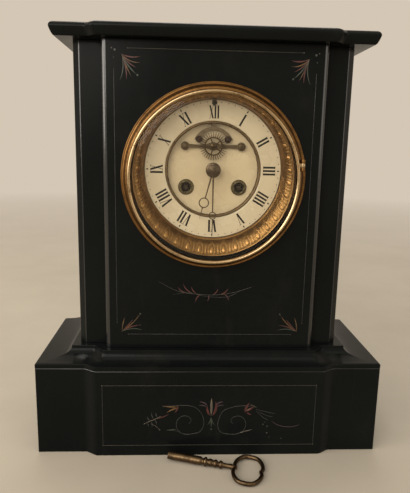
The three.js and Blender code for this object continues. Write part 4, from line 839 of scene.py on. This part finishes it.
def door():
    ring = lathe(rounded([(73.4, 6.3), (73.4, 4.5), (72.9, 3.5), (72.2, 3.05), (71.5, 3.02), (70.9, 3.4),
                          (70.45, 3.9), (70.4, 4.2), (71.3, 4.2), (71.3, 6.3)], 0.3), 224)
    piece("door_ring_turned", merged([moved(ring, z=DOOR_Z), hinge(DOOR_HINGE, -4.0, True)]), DOOR,
          "door_bezel", 50)
    pane = lathe([(0, 4.5), (64.8, 4.5), (65.1, 4.52), (70.95, 5.4), (71.0, 6.25), (70.95, 6.3), (0, 6.3)],
                 160)
    piece("door_glass_pane", moved(pane, z=DOOR_Z), GLASS, "door_glass", 20)


# The dial
def numeral(text):
    """The strokes and serifs of a Roman numeral, standing upright at twelve o'clock."""
    low, high, serif, thick, thin = 43.9, 54.7, 0.32, 1.65, 0.42
    advance = {"I": 2.95, "V": 5.1, "X": 5.0}
    squeeze = 0.84 if text == "XII" else 1.0
    shapes = []

    def stroke(u0, u1, width):
        side = width / 2
        shapes.append([(u0 - side, low), (u1 - side, high), (u1 + side, high), (u0 + side, low)])

    def serifs(places, levels, reach=1.0):
        for x in places:
            for v in levels:
                left, right, top = x - reach, x + reach, v + serif
                shapes.append([(left, v), (left, top), (right, top), (right, v)])

    at = -sum(advance[c] for c in text) / 2
    for c in text:
        m = at + advance[c] / 2
        if c == "I":
            stroke(m, m, thick)
            serifs((m,), (low, high - serif), 1.15)
        elif c == "V":
            stroke(m + 0.05, m - 1.7, thick)
            stroke(m + 0.25, m + 1.8, thin)
            serifs((m - 1.7, m + 1.8), (high - serif,))
        else:
            stroke(m + 1.6, m - 1.6, thick)
            stroke(m - 1.6, m + 1.6, thin)
            serifs((m - 1.6, m + 1.6), (low, high - serif))
        at += advance[c]
    return [[(x * squeeze, v) for x, v in shape] for shape in shapes]


def painted(shape, y, turn):
    """A patch on the dial, turned round its centre, a hair proud of the face it lies on."""
    front = moved(([(x, y, z) for x, z in shape], []), z=DIAL_Z, turn=turn)[0]
    count = len(front)
    sides = [(i, i + count, (i + 1) % count + count, (i + 1) % count) for i in range(count)]
    return front + [(x, y + 0.06, z) for x, _, z in front], [tuple(range(count)), *sides]


def chapter_ring():
    ring = lathe(rounded([(59.8, 24.6), (59.8, 23.35), (59.3, 23.0), (42.6, 23.0), (41.8, 23.4),
                          (41.8, 24.6)], 0.5), 224)
    hole = lathe([(0, 20), (1.8, 20), (1.8, 30), (0, 30)], 32)
    piece("chapter_ring_enamel", moved(ring, z=DIAL_Z), ENAMEL, "chapter_ring",
          cuts=[moved(hole, z=REGULATOR_Z)])
    eyelet = lathe(rounded([(1.9, 22.9), (2.25, 22.95), (2.3, 23.05), (1.75, 23.6), (1.75, 22.98)], 0.1, 2),
                   32)
    piece("regulator_eyelet", moved(eyelet, z=REGULATOR_Z), BORE)

    face, kite = 22.94, [(0, 56.2), (0.62, 56.8), (0.55, 57.6), (0, 58.7), (-0.55, 57.6), (-0.62, 56.8)]
    marks = []
    for hour, text in enumerate("XII I II III IIII V VI VII VIII IX X XI".split()):
        for k, shape in enumerate(numeral(text)):
            marks.append(painted(shape, face - 0.004 * (k % 5), math.radians(30 * hour)))
    for minute in range(1, 60):
        shape = circle(0.4, 10, 0, 57.6) if minute % 5 else kite
        marks.append(painted(shape, face - 0.01, math.radians(6 * minute)))
    piece("dial_numerals", merged(marks), PAINT, flat=True)


def dial_centre():
    dressed("dial_centre", RECESS, 0.1, 40)
    collar = lathe(rounded([(41.5, 24.8), (41.5, 22.9), (41.15, 22.6), (40.5, 22.62), (40.2, 23.0),
                            (40.2, 24.8)], 0.25), 192)
    piece("dial_collar_turned", moved(collar, z=DIAL_Z), COLLAR, angle=50)
    dressed("dial_pan", COLLAR, 0.15, 40)
    collet = lathe(rounded([(4.3, 28.9), (4.3, 28.2), (4.9, 27.9), (5.6, 28.15), (6.3, 28.0), (6.9, 28.6),
                            (7.0, 29.2), (4.3, 29.2)], 0.25), 64)
    sleeve = lathe([(4.25, 29.0), (4.25, 36.6), (4.45, 36.6), (4.45, 29.0)], 48)
    for side, x in (("left", -WINDING_X), ("right", WINDING_X)):
        piece(f"winding_collet_{side}_turned", moved(collet, x, 0, WINDING_Z), COLLET,
              f"winding_collet_{side}", 60)
        piece(f"winding_hole_{side}", moved(sleeve, x, 0, WINDING_Z), BORE)


# Wheels and the escapement
def toothed(count, root, tip, spread, lean, phase, tip_share):
    """A wheel's outline. Spread and lean are shares of the pitch, and tip_share one of the root's width."""
    points = []
    pitch = 2 * math.pi / count
    half = pitch * spread / 2
    for i in range(count):
        a = phase + i * pitch
        for r, turn in ((root, a - half),
                        (root + (tip - root) * 0.45, a - half * 0.42 + lean * pitch * 0.3),
                        (tip, a + lean * pitch - half * tip_share),
                        (tip, a + lean * pitch + half * tip_share),
                        (root + (tip - root) * 0.35, a + half * 0.62 + lean * pitch * 0.25),
                        (root, a + half)):
            points.append((r * math.cos(turn), r * math.sin(turn)))
    return points


def windows(spokes, hub, rim, width, phase, steps=10):
    """The openings of a wheel between its spokes."""
    loops = []
    for i in range(spokes):
        start, end = (phase + k * 2 * math.pi / spokes for k in (i, i + 1))
        loops.append(arc(rim, start + width / 2 / rim, end - width / 2 / rim, steps)
                     + arc(hub, end - width / 2 / hub, start + width / 2 / hub, steps))
    return loops


def mirrored(run):
    """The outline whose one side is given."""
    return [*run, *[(-x, z) for x, z in reversed(run)]]


def screw(name, x, z, head_y, radius, length, turn, mat=STEEL, back=False):
    """A slotted screw; one at the back has its head the other way round."""
    sign = -1 if back else 1
    shape = [(0, -1.0), (radius * 0.6, -0.95), (radius * 0.86, -0.7), (radius, -0.35), (radius, 0),
             (radius * 0.45, 0), (radius * 0.45, length), (0, length)]
    y0, y1 = sorted((head_y - sign * 1.3, head_y - sign * 0.55))
    groove = box(-radius - 1, radius + 1, y0, y1, -0.28, 0.28)
    turned = lathe([(r, head_y + sign * y) for r, y in shape], 40)
    piece(name + "_turned", moved(turned, x, 0, z), mat, name, cuts=[moved(groove, x, 0, z, turn)])


def escape_wheel():
    wheel = plate([toothed(ESCAPE_TEETH, 8.0, ESCAPE_TIP, 0.56, 0.1, math.pi / 2, 0.34),
                   *windows(5, 2.4, 6.9, 1.0, math.pi / 2 + 0.35)], 24.6, 25.6, 0.06)
    hub = lathe([(0, 24.2), (0.8, 24.2), (1.0, 24.05), (1.7, 24.1), (2.1, 24.35), (2.1, 26.0), (0, 26.0)], 40)
    arbor = lathe([(0, 23.4), (0.45, 23.4), (0.6, 23.6), (0.6, 24.2), (1, 24.4), (1, 50.4), (0, 50.4)], 24)
    leaves = [(r * math.cos(a), r * math.sin(a)) for i in range(6)
              for r, a in ((1.26, (i - 0.3) * math.pi / 3), (1.8, (i - 0.1) * math.pi / 3),
                           (1.8, (i + 0.1) * math.pi / 3), (1.26, (i + 0.3) * math.pi / 3))]
    pinion = plate([leaves], 44.0, 46.4, 0.05)
    piece("escape_wheel_cut", moved(merged([wheel, hub, arbor, pinion]), z=ESCAPE_Z), WHEEL,
          "escape_wheel", 40)


def escapement_bridge():
    half, reach, pivot = 1.6, 24.7, circle(1.3, 24)
    lower = smooth([(-reach, -half), (-20, -half), (-14, -1.35), (-8, -1.5), (-4.5, -2.3), (0, -3.7),
                    (4.5, -2.3), (8, -1.5), (14, -1.35), (20, -half), (reach, -half)], 6)
    parts = [plate([[*lower, *[(x, -z) for x, z in reversed(lower)]], pivot], 26.82, 28.18, 0.15),
             plate([circle(2.7, 40), pivot], 26.5, 28.2, 0.15)]
    for x in (-reach, reach):
        parts.append(moved(plate([circle(3.8, 48), circle(1.4, 24)], 26.8, 28.2, 0.15), x))
        parts.append(moved(lathe([(1.4, 27.4), (2.4, 27.4), (2.4, 36.7), (1.4, 36.7)], 32), x))
    piece("escapement_bridge_cut", moved(merged(parts), z=ESCAPE_Z), BRIDGE, "escapement_bridge", 40)
    for side, x, turn in (("left", -reach, 0.7), ("right", reach, -0.5)):
        screw(f"bridge_screw_{side}", x, ESCAPE_Z, 26.5, 2.6, 2.6, turn, BRIDGE)


def anchor():
    """Two stones in round cups on a crescent, hung from an arbor that carries the crutch at the back."""
    stone, clear, rock = 0.95, 0.15, math.radians(1.5)
    spread = 11.5 * (2 * math.pi / ESCAPE_TEETH) / 2
    to_stone = (ESCAPE_TIP + clear + stone) / (1 - math.tan(spread) * math.sin(rock))
    to_arbor = to_stone / math.cos(spread)
    px, pz = to_stone * math.sin(spread), to_stone * math.cos(spread)

    def bow(half_width, low, top, count=28):
        """An arc through its top and two ends."""
        r = (half_width ** 2 + (top - low) ** 2) / (2 * (top - low))
        half = math.asin(min(1, half_width / r))
        turns = [-half + 2 * half * k / count for k in range(count + 1)]
        return [(r * math.sin(a), top - r + r * math.cos(a)) for a in turns]
    crescent = plate([bow(px + 4.2, pz - 0.4, 16.6) + bow(px - 1.15, pz + 0.2, 14.0)[::-1]], 26.0, 27.2, 0.12)
    stem = plate([mirrored([(-2, 15.2), (-2.6, 20), (-2.2, to_arbor)])], 26.02, 27.18, 0.12)
    cups = [moved(plate([circle(3.0, 36)], 25.8, 27.2, 0.25, 2), x, 0, pz) for x in (-px, px)]
    piece("pallet_cups", moved(merged(cups), z=ESCAPE_Z), DARK, angle=40, body="anchor_arbor")
    hung = [lathe([(0, 25.9), (2.4, 26.0), (2.4, 27.2), (1, 27.3), (1, 82.2), (0, 82.2)], 32),
            box(-1.1, 1.1, 80.8, 82.2, -22, 0), lathe([(0, 80.8), (2.4, 80.8), (2.4, 82.2), (0, 82.2)], 32),
            box(-2.9, 2.9, 80.8, 82.2, -24, -21), box(-2.9, -1.7, 80.8, 86.4, -24, -22),
            box(1.7, 2.9, 80.8, 86.4, -24, -22)]
    piece("pallet_anchor_cut", moved(merged([crescent, stem, moved(merged(hung), z=to_arbor)]), z=ESCAPE_Z),
          ANCHOR, "pallet_anchor", bevel=0.12)
    for side, s in (("left", -1), ("right", 1)):
        facing = -math.pi / 2 - s * spread
        half_round = plate([arc(stone, facing - math.pi / 2, facing + math.pi / 2, 20)], 24.1, 25.75, 0.05)
        piece(f"pallet_{side}_stone", moved(half_round, s * px, 0, ESCAPE_Z + pz), RUBY,
              f"pallet_{side}", 40)


# The hands
def one_hand(y, length, ring_at, ring_r, wire, degrees):
    """A slender hand with an open ring near its tip."""
    thick = 0.7
    shaft = smooth([(-0.8, 0), (-0.62, ring_at * 0.5), (-0.5, ring_at - ring_r - 1),
                    (-0.75, ring_at - ring_r + 0.3)], 5)
    tip = smooth([(-0.8, ring_at + ring_r - 0.4), (-0.4, ring_at + ring_r + 1.6), (-0.34, length - 5),
                  (-0.12, length)], 5)
    ring = [circle(ring_r, 56, 0, ring_at), circle(ring_r - wire, 56, 0, ring_at)]
    parts = [plate([mirrored(shaft)], 0, thick, 0.09), plate([mirrored(tip)], 0.02, thick - 0.02, 0.06),
             plate(ring, 0.01, thick - 0.01, 0.09)]
    return moved(merged(parts), 0, y, 0, math.radians(degrees))


def hands():
    boss = lathe(rounded([(3.0, 19.6), (5.0, 19.5), (6.3, 20.1), (6.6, 20.6), (6.6, 21.5), (3.0, 21.5)], 0.3),
                 64)
    pipe = lathe([(2.95, 20.6), (3.7, 20.6), (3.7, 33.4), (2.95, 33.4)], 48)
    wheel = plate([toothed(40, 9.5, 10.4, 0.5, 0, 0, 0.4), circle(2.95, 32)], 32.6, 33.5, 0.04)
    hour = merged([one_hand(20.1, 44, 29.5, 4.6, 0.95, 195), boss, pipe, wheel])
    boss = lathe(rounded([(0, 15.7), (1.2, 15.7), (1.9, 15.9), (2.1, 16.6), (2.2, 17.1), (3.3, 17.2),
                          (4.4, 17.7), (4.6, 18.1), (4.6, 18.6), (0, 18.6)], 0.2), 56)
    cannon = lathe([(0, 18.2), (2.6, 18.2), (2.6, 39.1), (0, 39.1)], 32)
    pinion = plate([toothed(12, 2.4, 3.3, 0.5, 0, 0, 0.4)], 33.8, 36.2, 0.05)
    minute = merged([one_hand(17.9, 58, 39.5, 3.4, 0.85, 180), boss, cannon, pinion])
    for name, part in (("hour_hand", hour), ("minute_hand", minute)):
        piece(name + "_shaped", moved(part, z=DIAL_Z), HANDS, name, 40)


# Movement, bell, pendulum, back and key
def movement():
    for names, mat, slot, bevel, angle in (
            ("front_plate back_plate", PLATE, "brass", 0.3, 34),
            ("pillar_bottom pillar_left pillar_right centre_wheel third_wheel intermediate_wheel "
             "going_barrel strike_barrel strike_second_wheel count_wheel pin_wheel motion_wheel "
             "suspension_cock",
             BRASS, "brass", 0.08, 40),
            ("going_winding_arbor strike_winding_arbor regulating_arbor", SQUARE, "steel", 0.12, 40),
            ("hammer bell_stand suspension_spring", STEEL, "steel", 0.1, 40),
            ("strap_left strap_right", BRASS, "brass", 0.25, 34)):
        for name in names.split():
            dressed(name, mat, bevel, angle)


def bell():
    mouth, depth, radius, wall, hole, steps = 90.3, 16.0, 33.0, 1.2, 2.6, 24
    outer, inner = [], []
    for i in range(steps + 1):
        a = i / steps * math.pi / 2
        flare = 0.8 * max(0.0, 1 - i / 3)
        for made, thinner in ((outer, 0), (inner, wall)):
            made.append((max((radius - thinner) * math.cos(a) ** 0.7 + flare, hole),
                         mouth + (depth - thinner) * math.sin(a)))
    piece("bell_cast", moved(lathe(outer + inner[::-1], 96), z=DIAL_Z - 12), BELL, "bell", 50)


def pendulum():
    y, length = 84.4, 150
    rod = lathe([(0, -180), (0.9, -180), (1.4, -179.2), (1.4, -178.4), (3.0, -178.2), (3.0, -175.8),
                 (1.4, -175.6), (1.4, -12.3), (0, -12.3)], 28)
    hook = box(-3, 3, -1.3, 1.3, -14.7, -12.3)
    piece("pendulum_rod_turned", moved(merged([upright(rod), hook]), 0, y, SUSPENSION_Z), BRASS,
          "pendulum_rod", 40, 0.1)
    half = [(6, 5.85), (12, 5.1), (18, 3.6), (22.6, 1.6), (23.8, 0.9)]
    lens = [(0, -6), *[(r, -t) for r, t in half], (24, 0), *reversed(half), (0, 6)]
    hole = upright(lathe([(0, -30), (1.7, -30), (1.7, 30), (0, 30)], 24))
    at = (0, y, SUSPENSION_Z - length)
    piece("pendulum_bob_turned", moved(lathe(smooth(lens, 3), 96), *at), BELL, "pendulum_bob",
          cuts=[moved(hole, *at)])


def rear_ring():
    strap_x = 66.2
    ring = lathe(rounded([(76, 114), (76, 115.6), (75.4, 116.2), (74.4, 115.8), (73.2, 116.2), (62.9, 116.2),
                          (62.3, 115.6), (62.3, 106), (63.9, 106), (63.9, 114)], 0.3), 160)
    hole = lathe([(0, 110), (1.8, 110), (1.8, 120), (0, 120)], 24)
    piece("rear_ring_turned", merged([moved(ring, z=BORE_Z), hinge(REAR_HINGE, -3.0)]), REAR,
          "rear_ring", cuts=[moved(hole, x, 0, BORE_Z) for x in (-strap_x, strap_x)])
    for side, s in (("left", -1), ("right", 1)):
        screw(f"strap_screw_{side}", s * strap_x, BORE_Z, 116.5, 2.6, 13.6, 0.6 * s, back=True)


def rear_door():
    """A spun brass disc, domed in its middle, with a step, a rolled edge and a small knob."""
    y, skin_y = 118.4, 1.1
    dome = smooth([(0, y + 3.0), (20, y + 2.86), (36, y + 2.4), (50, y + 1.2), (58.5, y + 0.1)], 6)
    front = [*dome, (60, y), (61.4, y - 0.3), (62.8, y), (69.6, y), (71.1, y + 0.05), (71.5, y + 0.4)]
    back = [(71.5, y + 0.8), (71.1, y + skin_y), (69.6, y + skin_y), (62.8, y + skin_y),
            (61.4, y + skin_y + 0.35), (60, y + skin_y), *[(r, at + skin_y) for r, at in reversed(dome)]]
    knob = lathe(rounded([(0, y + 0.5), (2.2, y + 0.6), (1.5, y + 1.6), (1.3, y + 2.4), (2.4, y + 3.1),
                          (2.2, y + 4.1), (1.0, y + 4.57), (0, y + 4.58)], 0.25), 40)
    disc = merged([lathe(front + back, 160), moved(knob, 64.5)])
    piece("rear_door_spun", merged([moved(disc, z=BORE_Z), hinge(REAR_HINGE, 5.2, True)]), REAR,
          "rear_door", 50)


def key():
    """Pipe, balusters and an open bow, lying with its fat collar and its bow on the shelf."""
    r, end, collar, collar_at, wire = 3.7, 59.0, 4.0, 34.6, 1.9
    profile = [(0, 14), (1.9, 14), (1.9, 0.3), (2.2, 0), (r - 0.3, 0), (r, 0.3), (r, 1.6), (r - 0.15, 1.8),
               (r, 2.0), (r, 29.4), (r - 0.9, 30.6), (r - 1.2, 32.0), (collar, 33.4), (collar, collar_at),
               (2.7, 35.4), (2.5, 36.2), (3.1, 37.0), (3.4, 38.4), (3.1, 39.8), (2.5, 40.6), (2.5, 41.2),
               (3.2, 42.0), (3.4, 43.2), (2.9, 44.4), (2.1, 45.2), (2.1, 46.0), (3.4, 47.0), (3.4, 48.2),
               (2.3, 49.4), (2.0, 52.0), (1.7, end), (0, end)]
    verts, faces = lathe(rounded(profile, 0.3, 2), 56)
    parts = [([(y, -x, z) for x, y, z in verts], faces),
             sweep([(end - 6, 0, 0), (end - 2, 0, 0), (end + 1.5, 0, 0)], [1.9, 2.3, 1.7], 20)]
    centre, reach_x, reach_y = end + 12.9, 12.35, 18.85
    oval = [(-1, 0.24), (-0.86, 0.62), (-0.5, 0.93), (0, 1), (0.5, 0.93), (0.86, 0.62), (1, 0.24)]
    for s in (-1, 1):
        run = smooth([(centre - reach_x + 1.6, -s * 0.5, 0),
                      *[(centre + reach_x * a, s * reach_y * b, 0) for a, b in oval],
                      (centre + reach_x - 1.6, -s * 0.5, 0)])
        last = len(run) - 1
        sizes = [wire * (0.82 + 0.18 * math.sin(math.pi * i / last)) * (0.6 if i in (0, last) else 1)
                 for i in range(last + 1)]
        parts.append(sweep(run, sizes, 20))
    slope = math.asin((collar - wire) / (centre + reach_x - collar_at))
    place = (Matrix.Translation((-36.5, -14.2, collar + collar_at * math.sin(slope) + 0.1))
             @ Matrix.Rotation(math.radians(-15), 4, "Z") @ Matrix.Rotation(slope, 4, "Y"))
    verts, faces = merged(parts)
    verts = [tuple(place @ Vector(v)) for v in verts]
    piece("winding_key_cast", (verts, faces), KEY, "winding_key", 50)


# Camera, light and floor
def camera():
    """Stands left of the middle and a little above the dial, looking down and slightly turned."""
    yaw, pitch, roll = 0.0481, -0.1943, 0.0203
    ahead = Vector((math.sin(yaw) * math.cos(pitch), math.cos(yaw) * math.cos(pitch), math.sin(pitch)))
    level = Vector((math.cos(yaw), -math.sin(yaw), 0))
    above = level.cross(ahead)
    right = level * math.cos(roll) + above * math.sin(roll)
    up = above * math.cos(roll) - level * math.sin(roll)
    data = bpy.data.cameras.new("view")
    data.lens = 37.35
    data.sensor_width = 36
    data.clip_start = 0.02
    data.clip_end = 60
    cam = linked("view", data)
    cam.matrix_world = (Matrix.Translation((-0.02745, -0.48882, 0.27708))
                        @ Matrix((right, up, -ahead)).transposed().to_4x4())
    bpy.context.scene.camera = cam


def lamp(name, at, size, power, colour=DAYLIGHT, aim=(0, 0, 0.19)):
    data = bpy.data.lights.new(name, "AREA")
    data.shape = "RECTANGLE"
    data.size, data.size_y = size
    data.energy = power
    data.color = colour
    obj = linked(name, data)
    obj.location = at
    obj.visible_camera = False
    obj.rotation_mode = "QUATERNION"
    obj.rotation_quaternion = (Vector(at) - Vector(aim)).to_track_quat("Z", "Y")


def sky():
    """Soft white light for the pieces, and the backdrop's tone where the sky itself is seen."""
    world = bpy.data.worlds.new("studio")
    bpy.context.scene.world = world
    world.use_nodes = True
    made = Nodes(world.node_tree)
    ray = made.add("LightPath").outputs
    seen = made.math("MAXIMUM", ray["Is Camera Ray"],
                     made.math("MAXIMUM", ray["Is Glossy Ray"], ray["Is Transmission Ray"]))
    pale = made.add("Background", {"Color": BACKDROP, "Strength": 1.0})
    soft = made.tree.nodes["Background"]
    made.put(soft, {"Color": (*DAYLIGHT, 1), "Strength": 0.72})
    made.blend("World Output", seen, soft, pale)


def lamps():
    lamp("key_light", (-1.3, -2.4, 1.6), (2.2, 2.2), 64)
    lamp("fill_light", (1.9, -1.6, 0.9), (1.5, 1.5), 8)
    lamp("left_window", (-1.4, -0.55, 0.8), (0.9, 1.1), 16, (1.0, 0.95, 0.88))
    lamp("top_light", (0.1, -0.7, 1.9), (1.6, 0.9), 4, (1.0, 0.95, 0.88))
    lamp("back_light", (-0.1, 1.25, 2.3), (1.7, 1.0), 22, (1.0, 0.97, 0.93))


def floor():
    """A pale floor that fades into the backdrop."""
    look = Look("floor")
    tone = look.ramp(look.noise(6, 5, 0.6), 0.35, 0.7)
    colour = look.mix(tone, (0.37, 0.32, 0.25, 1), (0.335, 0.29, 0.225, 1))
    made = look.finish({"Base Color": colour, "Roughness": 0.7, "Specular IOR Level": 0.2})
    far = look.add("Emission", {"Color": BACKDROP, "Strength": 1.0})
    away = look.add("VectorMath", {0: look.coords}, operation="LENGTH").outputs["Value"]
    look.blend("Material Output", look.ramp(away, 0.7, 2.6), look.shader, far)
    me = bpy.data.meshes.new("floor")
    me.from_pydata([(-30, -30, 0), (30, -30, 0), (30, 30, 0), (-30, 30, 0)], [], [(0, 1, 2, 3)])
    me.materials.append(made)
    obj = linked("floor", me)
    obj.location.z = -0.0001


for build in (plinth, plinth_cap, body_slabs, top_slab, gilding, bezel, sight_ring, door, chapter_ring,
              dial_centre, escape_wheel, escapement_bridge, anchor, hands, movement, bell, pendulum,
              rear_ring, rear_door, key, camera, sky, lamps, floor):
    build()

bpy.context.scene.view_settings.view_transform = "Standard"
bpy.context.view_layer.update()
